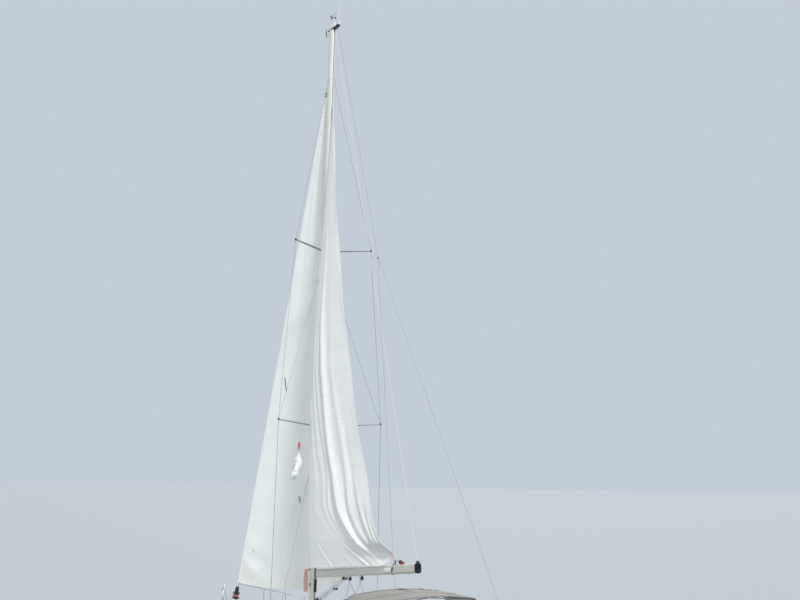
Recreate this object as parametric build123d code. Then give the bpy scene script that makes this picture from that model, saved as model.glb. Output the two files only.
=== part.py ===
# Sailing yacht, 13 m cruising sloop with an in-mast furling mainsail and a furling genoa.
# Millimetres. +X to the bow, +Y to port, +Z up. The origin is on the centreline at the
# waterline, halfway along the hull.

import os
from math import cos, pi, radians, sin, sqrt, tan

from build123d import *

FIT = 0.3                  # gap between pieces that touch

# Hull, as drawn on the waterline z = 0
BOW_X = 6500
STERN_X = -6500
SHEER_STERN_Z = 1260
SHEER_MID_Z = 1340
SHEER_BOW_Z = 1680
DECK_CROWN = 85            # rise of the deck at the centreline where the hull is widest
DECK_EDGE = 60             # thickness of the deck moulding at its edge
HALF_BEAM = 2100
STEM_FOOT_X = 6120
RAIL_WIDTH = 30
RAIL_HEIGHT = 45
RAIL_INSET = 6

# Stations of the hull. bottom is the angle where the flat run meets the bilge, side the
# angle of the topsides, bilge the radius of the turn between them, lean the raked stem.
#   x, half_beam, keel_z, bottom, bilge, side, lean
STATIONS = [
    (STERN_X, 1640, 60, 11, 420, 80, 0),
    (-5500, 1820, -90, 13, 500, 81, 0),
    (-4300, 1970, -240, 15, 580, 82, 0),
    (-1800, HALF_BEAM, -470, 19, 680, 84, 0),
    (600, 2070, -530, 22, 700, 84, 0),
    (2800, 1730, -440, 28, 650, 82, 0),
    (4700, 1050, -270, 40, 550, 78, 0),
    (5750, 520, -130, 55, 400, 77.5, 0),
    (STEM_FOOT_X, 35, -30, 60, 10, 89, 1),
]

# Cabin trunk: x, half_base, half_top, shoulder_z, crown
TRUNK_BASE_Z = 1150
TRUNK_WALL = 40
TRUNK = [
    (-2300, 1180, 1080, 1730, 80),
    (-300, 1180, 1070, 1750, 80),
    (1500, 1100, 980, 1740, 75),
    (3000, 860, 740, 1680, 55),
    (4100, 560, 460, 1600, 35),
]
CABIN_AFT_X = -2260
CABIN_FORE_X = 3200
CABIN_SOLE_Z = -200
CABIN_AFT_HALF = (1000, 1600)      # at the sole, at the deck
CABIN_FORE_HALF = (420, 1000)

# Side windows: x_aft, x_fore, z_low, z_high
WINDOWS = [(-1900, -350, 1520, 1650), (-150, 1100, 1530, 1655)]

# Companionway: doorway, hatchway, its slide and the hood over the slide's path
DOORWAY_HALF = 290
DOORWAY_SILL_Z = 1250
HATCHWAY_FORE_X = -1640
SLIDE_Z = 1850             # underside of the sliding hatch
SLIDE_HALF = 350
SLIDE_THICK = 25
SLIDE_CLEAR = 6
SEA_HOOD_FORE_X = -720
SEA_HOOD_WALL = 30
SEA_HOOD_HALF = 395
SEA_HOOD_TOP_Z = 1910

# Hatches that hinge on their fore edge: x, z of the frame's top, half_x, half_y
FRAME_WALL = 35
FRAME_LOW_Z = 1500
LID_THICK = 28
LID_CORNER = 40
HATCHES = {
    "saloon_hatch": (-150, 1860, 260, 260),
    "fore_hatch": (2650, 1790, 280, 280),
    "anchor_locker_lid": (4920, 1665, 280, 240),
}
ANCHOR_LOCKER_Z = 1050     # floor of the locker under its lid

# Lid hinges: pairs of knuckles on a pin
KNUCKLE = 9                # radius
KNUCKLE_LONG = 45
KNUCKLE_GAP = 1
KNUCKLE_OUT = 11           # axis from the face that carries the leaves
PIN = 4                    # radius
HINGE_SPREAD = 0.55        # place of a pair, as a share of the lid's half-length

# Cockpit
COCKPIT_FORE_X = -2300
COCKPIT_HALF = 1420
COAMING_HALF = 1090        # inner face of the coamings
COAMING_Z = 1560
COAMING_DROP = 90          # fall of the coaming's top to the helm
SEAT_Z = 1210
SOLE_Z = 790
SOLE_THICK = 50
WELL_HALF = 470
WELL_AFT_X = -4500
HELM_HALF = 1340
HELM_AFT_X = -5950
PASSAGE_HALF = 650
LOCKER_FORE_X = -2700
LOCKER_AFT_X = -3900
LOCKER_WALL = 60
LOCKER_LIP = 25            # ledge that carries the lid
LOCKER_LID = 30
LOCKER_GAP = 5

# Bathing platform in the transom
PLATFORM_HALF = 720
PLATFORM_LOW_Z = 300
PLATFORM_THICK = 60
PLATFORM_GAP = 8
PLATFORM_CORNER = 30

# Keel: root and tip of the fin, and the bulb
KEEL_NOSE = (1250, 850)
KEEL_CHORD = (1750, 1250)
KEEL_THICK = (230, 170)
KEEL_TIP_Z = -1840
BULB_AXIS_Z = -1850
BULB_NOSE_X = 1150
BULB_LENGTH = 2150
BULB_RADIUS = 165

# Rudder and its stock
STOCK_X = -5350
STOCK_RADIUS = 35
RUDDER_TOP_Z = -190
RUDDER_TIP_Z = -1650
RUDDER_CHORD = (640, 430)
RUDDER_THICK = (84, 60)
RUDDER_BALANCE = 0.22      # share of the chord ahead of the stock

# Saildrive and propeller
LEG_X = -1250
SHAFT_Z = -930
POD_RADIUS = 62
POD_LENGTH = 430
HUB_RADIUS = 48
HUB_LENGTH = 120
BLADES = 3
# Blade sections: distance from the shaft, chord, thickness, pitch angle
BLADE_ROWS = [(20, 60, 16, 62), (110, 105, 10, 38), (215, 50, 5, 24)]

# Helms
HELM_X = -5150
HELM_Y = 900
HELM_Z = 1370
HELM_RADIUS = 390
HELM_RIM = 14
HELM_SPOKES = 5
HELM_SHAFT = 15            # radius
HELM_SHAFT_LONG = 110
# Pedestal sections: z, length, width
PEDESTAL_ROWS = [(SOLE_Z, 300, 260), (1150, 200, 200), (1500, 240, 260)]
PEDESTAL_X = HELM_X + 220

# Rig
MAST_X = 1050
GOOSENECK_Z = 3050
MAST_RAKE = 1.0
MAST_LONG = 256
MAST_WIDE = 150
MAST_FOOT_Z = 1835
MASTHEAD = 15000           # above the gooseneck, along the mast
HOUNDS = 13930
SLOT_WIDE = 24
SLOT_DEEP = 45
LOWER_SPREADER = 3780
UPPER_SPREADER = 8550
SPREADER_SWEEP = 25
LOWER_HALF_SPAN = 1512
UPPER_HALF_SPAN = 1158
# Spreaders: height, half_span, root_chord, tip_chord, thickness
SPREADERS = [(LOWER_SPREADER, LOWER_HALF_SPAN, 150, 85, 32), (UPPER_SPREADER, UPPER_HALF_SPAN, 130, 80, 28)]
STAY_FOOT_X = 6000
STEMHEAD_Z = 1790
CHAIN_X = 350
CHAIN_Y = 1530
CHAIN_HIGH = 110
INNER_CHAIN = (90, 70)     # plate of the inner shroud, aft and inboard of the outer one
BACKSTAY_X = -5640
BACKSTAY_Y = 1560
BACKSTAY_SPLIT = (-1950, 10890)     # x, z
WIRE = 5                   # radius of the shrouds
FOIL = 20                  # radius of the furling extrusion on the forestay
TANG_DROP = 160            # inner shrouds end this far below their spreaders

# Headsail furler: discs and swivel as offset, thickness, radius
DRUM_LOW_Z = 1960
DRUM_HIGH_Z = 2300
DRUM_CORE = 45
DRUM_ROWS = [(0, 18, 105), (150, 18, 105), (230, 60, 60)]

# Crane and instruments at the masthead
CRANE_AFT = 300            # backstay pin aft of the mast's axis
CRANE_TAIL = 75            # crane aft of that pin
CRANE_FORE = 190
CRANE_HALF = 45
CRANE_HIGH = 55
ANTENNA = (340, -25)       # aft of the mast's axis, to port
ANTENNA_HIGH = 1020
LIGHT_AFT = 150
LIGHT_RADIUS = 32
LIGHT_HIGH = 160
ARM = 7                    # radius of the instruments' arms
ARM_AFT = 270
ARM_SIDE = 25
ARM_HIGH = 400
CUPS_FORE = 20
CUPS_REACH = 80
CUPS_DROP = 30             # seat of the cups below the arm's axis
CUP = 26
VANE_FORE = 360
VANE_DROP = 95             # seat of the vane below the crane's top
VANE_REACH = 150
VANE_HIGH = 200
VANE_ANGLE = 35            # tail at rest, from aft towards port

# Boom, at rest a little to port and rising aft
BOOM_LENGTH = 5200         # from the mast's axis
BOOM_SIDE = 1.66
BOOM_RISE = 5.7
BOOM_HIGH = 210
BOOM_WIDE = 130
BOOM_START = 215
BOOM_CORNER = 55
BOOM_END = 60              # length of the end casting
SWING_GAP = 34             # from the mast's aft face to the swing axis
EYE_HALF = 55              # half the height of the boom's eye on its pin
EYE_RADIUS = 26
GOOSENECK_PIN = 10

# Rod vang from the mast's foot to the boom
VANG_LOW = -720            # its foot, from the gooseneck
VANG_REACH = 1950
VANG_BARREL = (110, 1150)
VANG_EYE = 40              # half the height of the vang's eye
VANG_PIN = 9
VANG_LUG = 35

# Sails
CLOTH = 8
MAIN_HEAD = 12750
# Mainsail: height of the luff, chord, angle from the centreline to port, depth of the belly
MAIN_ROWS = [
    (150, 4060, 1.7, 0.12),
    (900, 3740, 5.0, 0.135),
    (2300, 3220, 8.0, 0.15),
    (4600, 2460, 11.0, 0.175),
    (7300, 1640, 14.0, 0.19),
    (10000, 830, 17.0, 0.16),
    (MAIN_HEAD, 160, 19.0, 0.08),
]
# Shape of a section: share of the chord, share of the belly
MAIN_CAMBER = [(0, 0), (0.05, 0.55), (0.18, 1.0), (0.6, 0.7), (1, 0)]
GENOA_CAMBER = [(0, 0), (0.15, 0.66), (0.36, 1.0), (0.7, 0.66), (1, 0)]
# Genoa: share of the luff, hollow of the leech forward, depth of the belly
GENOA_ROWS = [
    (-0.03, -30, 0.04),
    (0.12, 120, 0.09),
    (0.35, 330, 0.11),
    (0.6, 420, 0.11),
    (0.82, 300, 0.09),
    (1.0, 0, 0.04),
]
GENOA_CLEW = (1150, -1090, 2880)
GENOA_TACK_Z = 2420
GENOA_HEAD_Z = 15650
GENOA_HEAD_CHORD = 160
GENOA_FOOT_ROUND = 250     # the foot hangs this far below the line from tack to clew

# Guard rails
TUBE = 13                  # radius
STANCHION_HIGH = 610
STANCHION_X = [-3400, -1900, -300, 1300, 2700, 3900]
RAIL_SIDE_INSET = 95
ROOT = 40                  # depth that a fitting's foot is drawn into the deck before it is cut

# Deck gear. Winches: x, y, radius of the base, height
WINCHES = [(-3300, 1255, 95, 190), (-4250, 1255, 85, 170), (-850, 620, 75, 160)]
# Cleats: x, inset from the deck's edge
CLEATS = [(4250, 130), (700, 130), (-5900, 130)]
CLEAT_LONG = 270
CLEAT_HIGH = 60
TRACK_X = (-1000, 1100)
TRACK_Y = 1300
TRACK_WIDE = 32
TRACK_HIGH = 25
CAR_X = -150
CAR_LONG = 110
CAR_HIGH = 70
GRAB_X = (-550, 550, 1650)
GRAB_Y = 800
GRAB_HIGH = 65
GRAB_TUBE = 11

# Plough anchor on the bow roller, its shank beside the stay's lug
ANCHOR_Y = -48
ANCHOR_PLATE = 18
ANCHOR_SHANK = (5900, 6560)
FLUKE_HALF = 130

# Bimini over the cockpit and sprayhood over the companionway
CANVAS = 8
BIMINI_HALF = 1350
BIMINI_EDGE_Z = 2780
BIMINI_TOP_Z = 3000
BIMINI_HEM = 90
# Bimini: x, drop
BIMINI_ROWS = [(-4400, 40), (-3700, 0), (-3000, 0)]
BIMINI_PIVOT_X = -3750
# Sprayhood: x, half, z of its shoulder's foot, z of its top
HOOD_BASE_Z = 1600
HOOD_ROWS = [
    (-980, 880, 1690, 1790),
    (-1060, 900, 1770, 1930),
    (-1650, 1000, 2080, 2290),
    (-2330, 1030, 2180, 2480),
]


def circle_through(a, b, c):
    """Centre and radius of the circle through three points of the X-Z plane."""
    ax, az = a
    bx, bz = b
    cx, cz = c
    d = 2 * (ax * (bz - cz) + bx * (cz - az) + cx * (az - bz))
    ux = ((ax**2 + az**2) * (bz - cz) + (bx**2 + bz**2) * (cz - az) + (cx**2 + cz**2) * (az - bz)) / d
    uz = ((ax**2 + az**2) * (cx - bx) + (bx**2 + bz**2) * (ax - cx) + (cx**2 + cz**2) * (bx - ax)) / d
    return ux, uz, sqrt((ax - ux)**2 + (az - uz)**2)


SHEER = circle_through((STERN_X, SHEER_STERN_Z), (0, SHEER_MID_Z), (BOW_X, SHEER_BOW_Z))


def sheer_z(x):
    """Height of the deck's edge at x."""
    centre_x, centre_z, radius = SHEER
    return centre_z - sqrt(radius**2 - (x - centre_x)**2)


def half_beam(x):
    """Half the beam at the sheer, straight between the stations."""
    rows = STATIONS[:-1] + [(BOW_X,) + STATIONS[-1][1:]]
    for aft, fore in zip(rows, rows[1:]):
        if x <= fore[0]:
            return aft[1] + (fore[1] - aft[1]) * (x - aft[0]) / (fore[0] - aft[0])
    return rows[-1][1]


def deck_z(x, y):
    """Height of the cambered deck."""
    half = half_beam(x)
    return sheer_z(x) + DECK_CROWN * half / HALF_BEAM * (1 - (y / half)**2)


def hull_section(x, half, keel_z, bottom, bilge, side, lean):
    """Closed station: flat run, turn of the bilge, topside and cambered deck."""
    top = SHEER_BOW_Z if lean else sheer_z(x)
    slope = (BOW_X - x) / (top - keel_z) if lean else 0
    a, b = radians(bottom), radians(side)
    run = half - bilge * (sin(b) - sin(a)) - (top - keel_z - bilge * (cos(a) - cos(b))) / tan(b)
    run /= sin(a) - (1 - cos(a)) / tan(b)
    low_y, low_z = run * sin(a), keel_z + run * (1 - cos(a))
    m = (a + b) / 2
    mid_y = low_y + bilge * (sin(m) - sin(a))
    mid_z = low_z + bilge * (cos(a) - cos(m))
    up_y = low_y + bilge * (sin(b) - sin(a))
    up_z = low_z + bilge * (cos(a) - cos(b))
    crown = DECK_CROWN * half / HALF_BEAM

    def at(y, z):
        return (x + slope * (z - keel_z), y, z)

    edges = [
        Line(at(half, top), at(up_y, up_z)),
        ThreePointArc(at(up_y, up_z), at(mid_y, mid_z), at(low_y, low_z)),
        ThreePointArc(at(low_y, low_z), at(0, keel_z), at(-low_y, low_z)),
        ThreePointArc(at(-low_y, low_z), at(-mid_y, mid_z), at(-up_y, up_z)),
        Line(at(-up_y, up_z), at(-half, top)),
        ThreePointArc(at(-half, top), at(0, top + crown), at(half, top)),
    ]
    return Face(Wire(edges))


def polygon_xz(points):
    """Face in the X-Z plane from (x, z) points."""
    return Face(Wire([Line((ax, 0, az), (bx, 0, bz))
                      for (ax, az), (bx, bz) in zip(points, points[1:] + points[:1])]))


def block(x0, x1, y0, y1, z0, z1):
    """Box between two corners."""
    return Pos((x0 + x1) / 2, (y0 + y1) / 2, (z0 + z1) / 2) * Box(abs(x1 - x0), abs(y1 - y0), abs(z1 - z0))


def rod(start, end, radius, end_radius=None):
    """Round bar, or taper, between two points."""
    start, end = Vector(*start), Vector(*end)
    plane = Plane(origin=start, z_dir=end - start)
    if end_radius is None:
        return extrude(plane * Circle(radius), (end - start).length)
    far = Plane(origin=end, x_dir=plane.x_dir, z_dir=end - start)
    return loft([plane * Circle(radius), far * Circle(end_radius)])


def tube_path(points, radius, bend):
    """Bent tube along straight runs with one bend radius."""
    path = FilletPolyline(*points, radius=bend)
    start = Plane(origin=path @ 0, z_dir=path % 0)
    return sweep(start * Circle(radius), path)


def both_sides(make):
    """The piece for port and for starboard, from one function of the side's sign."""
    return Compound(children=[make(1), make(-1)])


def export(shape, node):
    """Write one node, its solids kept apart."""
    solids = shape.solids()
    shape = solids[0] if len(solids) == 1 else Compound(children=list(solids))
    export_step(shape, f"parts/{node}.step")


def mast_point(height, aft=0, side=0):
    """Point at a height above the gooseneck, measured along the mast, aft of its axis."""
    r = radians(MAST_RAKE)
    return (MAST_X - sin(r) * height - cos(r) * aft, side, GOOSENECK_Z + cos(r) * height - sin(r) * aft)


def trunk_section(x, half_base, half_top, shoulder_z, crown, inset, base_z):
    """Section of the cabin trunk, moved in by inset."""
    base, top, z = half_base - inset, half_top - inset, shoulder_z - inset
    return Face(Wire([
        Line((x, -base, base_z), (x, base, base_z)),
        Line((x, base, base_z), (x, top, z)),
        ThreePointArc((x, top, z), (x, 0, z + crown), (x, -top, z)),
        Line((x, -top, z), (x, -base, base_z)),
    ]))


def make_hull_form():
    return loft([hull_section(*row) for row in STATIONS])


def make_deck_cutter():
    """Everything above the underside of the deck moulding."""
    reach = 400
    low = [(x, sheer_z(x) - DECK_EDGE) for x in (STERN_X - reach, 0, BOW_X + reach)]
    high = 3000
    ends = [(low[2][0], high), (low[0][0], high)]
    edges = [
        ThreePointArc(*[(x, -HALF_BEAM - reach, z) for x, z in low]),
        Line((low[2][0], -HALF_BEAM - reach, low[2][1]), (ends[0][0], -HALF_BEAM - reach, high)),
        Line((ends[0][0], -HALF_BEAM - reach, high), (ends[1][0], -HALF_BEAM - reach, high)),
        Line((ends[1][0], -HALF_BEAM - reach, high), (low[0][0], -HALF_BEAM - reach, low[0][1])),
    ]
    return extrude(Face(Wire(edges)), 2 * (HALF_BEAM + reach), dir=(0, 1, 0))


def make_toe_rail():
    """Low bulwark moulded on the deck's edge."""
    rails = []
    for side in (1, -1):
        faces = []
        for row in STATIONS:
            x, half = row[0], row[1]
            x = BOW_X - 60 if row[-1] else x
            outer = max(half - RAIL_INSET, 25)
            inner = max(outer - RAIL_WIDTH, 4)
            low = sheer_z(x) - 25
            high = sheer_z(x) + RAIL_HEIGHT
            corners = [(x, side * outer, low), (x, side * outer, high), (x, side * inner, high),
                       (x, side * inner, low)]
            faces.append(Face(Wire.make_polygon(corners, close=True)))
        rails.append(loft(faces))
    return rails


def make_trunk_form():
    """Cabin trunk as a solid, down into the deck."""
    return loft([trunk_section(*row, 0, TRUNK_BASE_Z) for row in TRUNK])


def make_trunk_space(base_z):
    """Space inside the trunk, up to the cabin's fore end."""
    inner = loft([trunk_section(*row, TRUNK_WALL, base_z) for row in TRUNK])
    return inner & block(CABIN_AFT_X, CABIN_FORE_X, -HALF_BEAM, HALF_BEAM, base_z, SEA_HOOD_TOP_Z + 500)


def make_cabin_space():
    """Space below the deck."""
    faces = []
    deck_low = SHEER_MID_Z - 2 * DECK_EDGE
    for x, (low, high) in ((CABIN_AFT_X, CABIN_AFT_HALF), (CABIN_FORE_X, CABIN_FORE_HALF)):
        corners = [(x, -low, CABIN_SOLE_Z), (x, low, CABIN_SOLE_Z), (x, high, deck_low), (x, -high, deck_low)]
        faces.append(Face(Wire.make_polygon(corners, close=True)))
    return loft(faces)


def coaming_z(x):
    """Height of the coaming's top, which falls towards the helm."""
    return COAMING_Z - COAMING_DROP * (COCKPIT_FORE_X - x) / (COCKPIT_FORE_X - HELM_AFT_X)


def make_cockpit_form():
    """Outside of the cockpit moulding, from under its sole to the coaming's top."""
    low = SOLE_Z - SOLE_THICK
    aft = STERN_X + PLATFORM_THICK + PLATFORM_GAP
    side = polygon_xz([(COCKPIT_FORE_X, low), (COCKPIT_FORE_X, COAMING_Z),
                       (HELM_AFT_X, coaming_z(HELM_AFT_X)), (aft, SHEER_STERN_Z + 60), (aft, low)])
    return extrude(side, COCKPIT_HALF, both=True, dir=(0, 1, 0))


def make_cockpit(form):
    """Seats, coamings and sole in one moulding, with its wells cut."""
    high = COAMING_Z + 100
    cockpit = form
    cockpit -= block(COCKPIT_FORE_X + 1, WELL_AFT_X, -COAMING_HALF, COAMING_HALF, SEAT_Z, high)
    cockpit -= block(COCKPIT_FORE_X + 1, WELL_AFT_X - 1, -WELL_HALF, WELL_HALF, SOLE_Z, high)
    cockpit -= block(WELL_AFT_X, HELM_AFT_X, -HELM_HALF, HELM_HALF, SOLE_Z, high)
    cockpit -= block(HELM_AFT_X + 1, STERN_X - 10, -PASSAGE_HALF, PASSAGE_HALF, SOLE_Z, high)
    for side in (1, -1):
        inner = side * (WELL_HALF + LOCKER_WALL)
        outer = side * (COAMING_HALF - LOCKER_WALL)
        cockpit -= block(LOCKER_FORE_X, LOCKER_AFT_X, inner, outer, SOLE_Z + LOCKER_WALL, SEAT_Z)
        cockpit -= block(LOCKER_FORE_X + LOCKER_LIP, LOCKER_AFT_X - LOCKER_LIP, inner - side * LOCKER_LIP,
                         outer + side * LOCKER_LIP, SEAT_Z - LOCKER_LID, SEAT_Z)
    return cockpit


def make_knuckles(carried):
    """Half of a hinge along X, its leaf towards -Y. The fixed half has the pin, the carried
    half lies between the fixed knuckles."""
    half = KNUCKLE_LONG / 2
    if carried:
        piece = rod((-half, 0, 0), (half, 0, 0), KNUCKLE)
        piece += block(-half, half, -KNUCKLE_OUT - 4, 0, -4, KNUCKLE)
        return piece - rod((-half - 1, 0, 0), (half + 1, 0, 0), PIN + FIT)
    reach = half + KNUCKLE_GAP + KNUCKLE_LONG
    piece = rod((-reach, 0, 0), (reach, 0, 0), PIN)
    for side in (1, -1):
        near, far = side * (half + KNUCKLE_GAP), side * reach
        piece += rod((near, 0, 0), (far, 0, 0), KNUCKLE)
        piece += block(near, far, -KNUCKLE_OUT, 0, -2 * KNUCKLE, -KNUCKLE)
        piece += block(near, far, -KNUCKLE_OUT + 2, 0, -KNUCKLE, 0)
    return piece


def hatch_hinges(name, carried):
    """Knuckles on the fore edge of a hatch."""
    x, top, half_x, half_y = HATCHES[name]
    axis_x = x + half_x + FRAME_WALL + KNUCKLE_OUT
    axis_z = top + FIT + KNUCKLE
    return [Plane(origin=(axis_x, side * HINGE_SPREAD * half_y, axis_z), x_dir=(0, -1, 0), z_dir=(0, 0, 1))
            * make_knuckles(carried) for side in (1, -1)]


def make_hatch_hinges():
    """Fixed halves of the hatches' hinges, on their frames."""
    return Compound(children=[half for name in HATCHES for half in hatch_hinges(name, False)])


def make_locker_lid(side):
    lip = LOCKER_LIP - LOCKER_GAP
    inner = side * (WELL_HALF + LOCKER_WALL - lip)
    outer = side * (COAMING_HALF - LOCKER_WALL + lip)
    return block(LOCKER_FORE_X + lip, LOCKER_AFT_X - lip, inner, outer, SEAT_Z - LOCKER_LID + FIT, SEAT_Z + 2)


def foil(x_nose, chord, thick, z):
    """Foil section in a level plane, its nose forward."""
    nose_x, nose_y = x_nose - 0.03 * chord, 0.30 * thick
    mid_x, mid_y = x_nose - 0.33 * chord, thick / 2
    tail_x, tail_y = x_nose - chord, 4
    return Face(Wire([
        ThreePointArc((nose_x, nose_y, z), (x_nose, 0, z), (nose_x, -nose_y, z)),
        ThreePointArc((nose_x, -nose_y, z), (mid_x, -mid_y, z), (tail_x, -tail_y, z)),
        Line((tail_x, -tail_y, z), (tail_x, tail_y, z)),
        ThreePointArc((tail_x, tail_y, z), (mid_x, mid_y, z), (nose_x, nose_y, z)),
    ]))


def largest(shape):
    """The largest solid of a cut piece."""
    return max(shape.solids(), key=lambda solid: solid.volume)


def cut_feet(pieces, *cut_by):
    """Pieces with the part of their feet that lies in the deck cut off, each kept whole."""
    kept = []
    for piece in pieces:
        for cutter in cut_by:
            near = piece.bounding_box()
            local = cutter & block(near.min.X - 1, near.max.X + 1, near.min.Y - 1, near.max.Y + 1,
                                   near.min.Z - 1, near.max.Z + 1)
            piece = piece - local
        kept.append(largest(piece))
    return Compound(children=kept)


def make_keel(hull_form):
    fin = loft([foil(KEEL_NOSE[1], KEEL_CHORD[1], KEEL_THICK[1], KEEL_TIP_Z),
                foil(KEEL_NOSE[0], KEEL_CHORD[0], KEEL_THICK[0], CABIN_SOLE_Z)])
    shoulder_x = BULB_NOSE_X - 0.38 * BULB_LENGTH
    tail_x = BULB_NOSE_X - BULB_LENGTH
    tail_half = BULB_RADIUS * 0.07
    nose = ThreePointArc((BULB_NOSE_X, 0, BULB_AXIS_Z),
                         (BULB_NOSE_X - 0.10 * BULB_LENGTH, 0, BULB_AXIS_Z + 0.62 * BULB_RADIUS),
                         (shoulder_x, 0, BULB_AXIS_Z + BULB_RADIUS))
    tail = ThreePointArc((shoulder_x, 0, BULB_AXIS_Z + BULB_RADIUS),
                         (tail_x + 0.35 * BULB_LENGTH, 0, BULB_AXIS_Z + 0.66 * BULB_RADIUS),
                         (tail_x, 0, BULB_AXIS_Z + tail_half))
    back = Line((tail_x, 0, BULB_AXIS_Z + tail_half), (tail_x, 0, BULB_AXIS_Z))
    axis = Line((tail_x, 0, BULB_AXIS_Z), (BULB_NOSE_X, 0, BULB_AXIS_Z))
    bulb = revolve(Face(Wire([nose, tail, back, axis])), Axis((0, 0, BULB_AXIS_Z), (1, 0, 0)))
    return largest(fin - hull_form) + bulb


def make_rudder():
    blade = loft([foil(STOCK_X + RUDDER_BALANCE * chord, chord, thick, z)
                  for chord, thick, z in ((RUDDER_CHORD[1], RUDDER_THICK[1], RUDDER_TIP_Z),
                                          (RUDDER_CHORD[0], RUDDER_THICK[0], RUDDER_TOP_Z))])
    low, high = RUDDER_TOP_Z - 200, SOLE_Z - SOLE_THICK - 12
    return blade + rod((STOCK_X, 0, low), (STOCK_X, 0, high), STOCK_RADIUS)


def rudder_tube():
    return rod((STOCK_X, 0, RUDDER_TOP_Z - 400), (STOCK_X, 0, SOLE_Z - SOLE_THICK), STOCK_RADIUS + FIT)


def make_saildrive(hull_form):
    """Leg under the hull with the pod that carries the shaft."""
    leg = loft([foil(LEG_X + 130, 300, 105, SHAFT_Z), foil(LEG_X + 150, 330, 120, CABIN_SOLE_Z - 40)])
    nose_x, tail_x = LEG_X + POD_LENGTH / 2, LEG_X - POD_LENGTH / 2
    shoulder_x = nose_x - 0.4 * POD_LENGTH
    pod = Face(Wire([
        ThreePointArc((nose_x, 0, SHAFT_Z), (nose_x - POD_RADIUS, 0, SHAFT_Z + 0.7 * POD_RADIUS),
                      (shoulder_x, 0, SHAFT_Z + POD_RADIUS)),
        Line((shoulder_x, 0, SHAFT_Z + POD_RADIUS), (tail_x, 0, SHAFT_Z + HUB_RADIUS)),
        Line((tail_x, 0, SHAFT_Z + HUB_RADIUS), (tail_x, 0, SHAFT_Z)),
        Line((tail_x, 0, SHAFT_Z), (nose_x, 0, SHAFT_Z)),
    ]))
    return leg - hull_form + revolve(pod, Axis((0, 0, SHAFT_Z), (1, 0, 0)))


def make_propeller():
    fore = LEG_X - POD_LENGTH / 2 - FIT
    shoulder = fore - 0.7 * HUB_LENGTH
    propeller = rod((fore, 0, SHAFT_Z), (shoulder, 0, SHAFT_Z), HUB_RADIUS)
    propeller += rod((shoulder, 0, SHAFT_Z), (fore - HUB_LENGTH, 0, SHAFT_Z), HUB_RADIUS, HUB_RADIUS * 0.6)
    middle = fore - 0.4 * HUB_LENGTH
    sections = []
    for reach, chord, thick, pitch in BLADE_ROWS:
        chord_dir = (sin(radians(pitch)), cos(radians(pitch)), 0)
        plane = Plane(origin=(middle, 0, SHAFT_Z + reach), x_dir=chord_dir, z_dir=(0, 0, 1))
        sections.append(plane * Ellipse(chord / 2, thick / 2))
    blade = loft(sections)
    for index in range(BLADES):
        propeller += blade.rotate(Axis((0, 0, SHAFT_Z), (1, 0, 0)), 360 / BLADES * index)
    return propeller


def make_helm(side):
    """Steering wheel, its shaft pointing forward into the pedestal."""
    centre = (HELM_X, side * HELM_Y, HELM_Z)
    plane = Plane(origin=centre, x_dir=(0, 1, 0), z_dir=(1, 0, 0))
    wheel = plane * Torus(HELM_RADIUS, HELM_RIM)
    wheel += plane * Cylinder(3 * HELM_SHAFT, 40)
    for index in range(HELM_SPOKES):
        angle = 2 * pi * index / HELM_SPOKES
        tip = (HELM_X, side * HELM_Y + HELM_RADIUS * sin(angle), HELM_Z + HELM_RADIUS * cos(angle))
        wheel += rod(centre, tip, 8)
    return wheel + rod(centre, (HELM_X + HELM_SHAFT_LONG, side * HELM_Y, HELM_Z), HELM_SHAFT)


def make_pedestals():
    def pedestal(side):
        faces = [Plane(origin=(PEDESTAL_X, side * HELM_Y, z)) * RectangleRounded(long, wide, 60)
                 for z, long, wide in PEDESTAL_ROWS]
        bore = rod((HELM_X, side * HELM_Y, HELM_Z), (HELM_X + HELM_SHAFT_LONG + 2, side * HELM_Y, HELM_Z),
                   HELM_SHAFT + FIT)
        return loft(faces, ruled=True) - bore
    return both_sides(pedestal)


def window_blocks():
    """Rounded blocks across the trunk, one for each pair of windows."""
    blocks = []
    for aft, fore, low, high in WINDOWS:
        radius = 0.46 * (high - low)
        pane = Plane(origin=((aft + fore) / 2, -HALF_BEAM, (low + high) / 2), x_dir=(1, 0, 0),
                     z_dir=(0, 1, 0)) * RectangleRounded(fore - aft, high - low, radius)
        blocks.append(extrude(pane, 2 * HALF_BEAM))
    return blocks


def hatch_frame(name):
    x, top, half_x, half_y = HATCHES[name]
    half_x, half_y = half_x + FRAME_WALL, half_y + FRAME_WALL
    return block(x - half_x, x + half_x, -half_y, half_y, FRAME_LOW_Z, top)


def hatch_way(name, low):
    """Clear way through a hatch, from a height up."""
    x, _, half_x, half_y = HATCHES[name]
    return block(x - half_x, x + half_x, -half_y, half_y, low, SEA_HOOD_TOP_Z)


def make_hatch_lid(name):
    """Lid with the carried knuckles of its hinges."""
    x, top, half_x, half_y = HATCHES[name]
    half_x, half_y = half_x + FRAME_WALL, half_y + FRAME_WALL
    lid = block(x - half_x, x + half_x, -half_y, half_y, top + FIT, top + FIT + LID_THICK)
    lid = fillet(lid.edges().filter_by(Axis.Z), LID_CORNER)
    for knuckle in hatch_hinges(name, True):
        lid += knuckle
    return lid


def make_sea_hood():
    """Box over the slide's path ahead of the hatchway."""
    aft = HATCHWAY_FORE_X + 40
    outer = block(aft, SEA_HOOD_FORE_X, -SEA_HOOD_HALF, SEA_HOOD_HALF, FRAME_LOW_Z, SEA_HOOD_TOP_Z)
    inner_half = SLIDE_HALF + 10
    inner = block(aft - 1, SEA_HOOD_FORE_X - SEA_HOOD_WALL, -inner_half, inner_half, SLIDE_Z - SLIDE_CLEAR,
                  SLIDE_Z + SLIDE_THICK + SLIDE_CLEAR)
    return outer - inner


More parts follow.
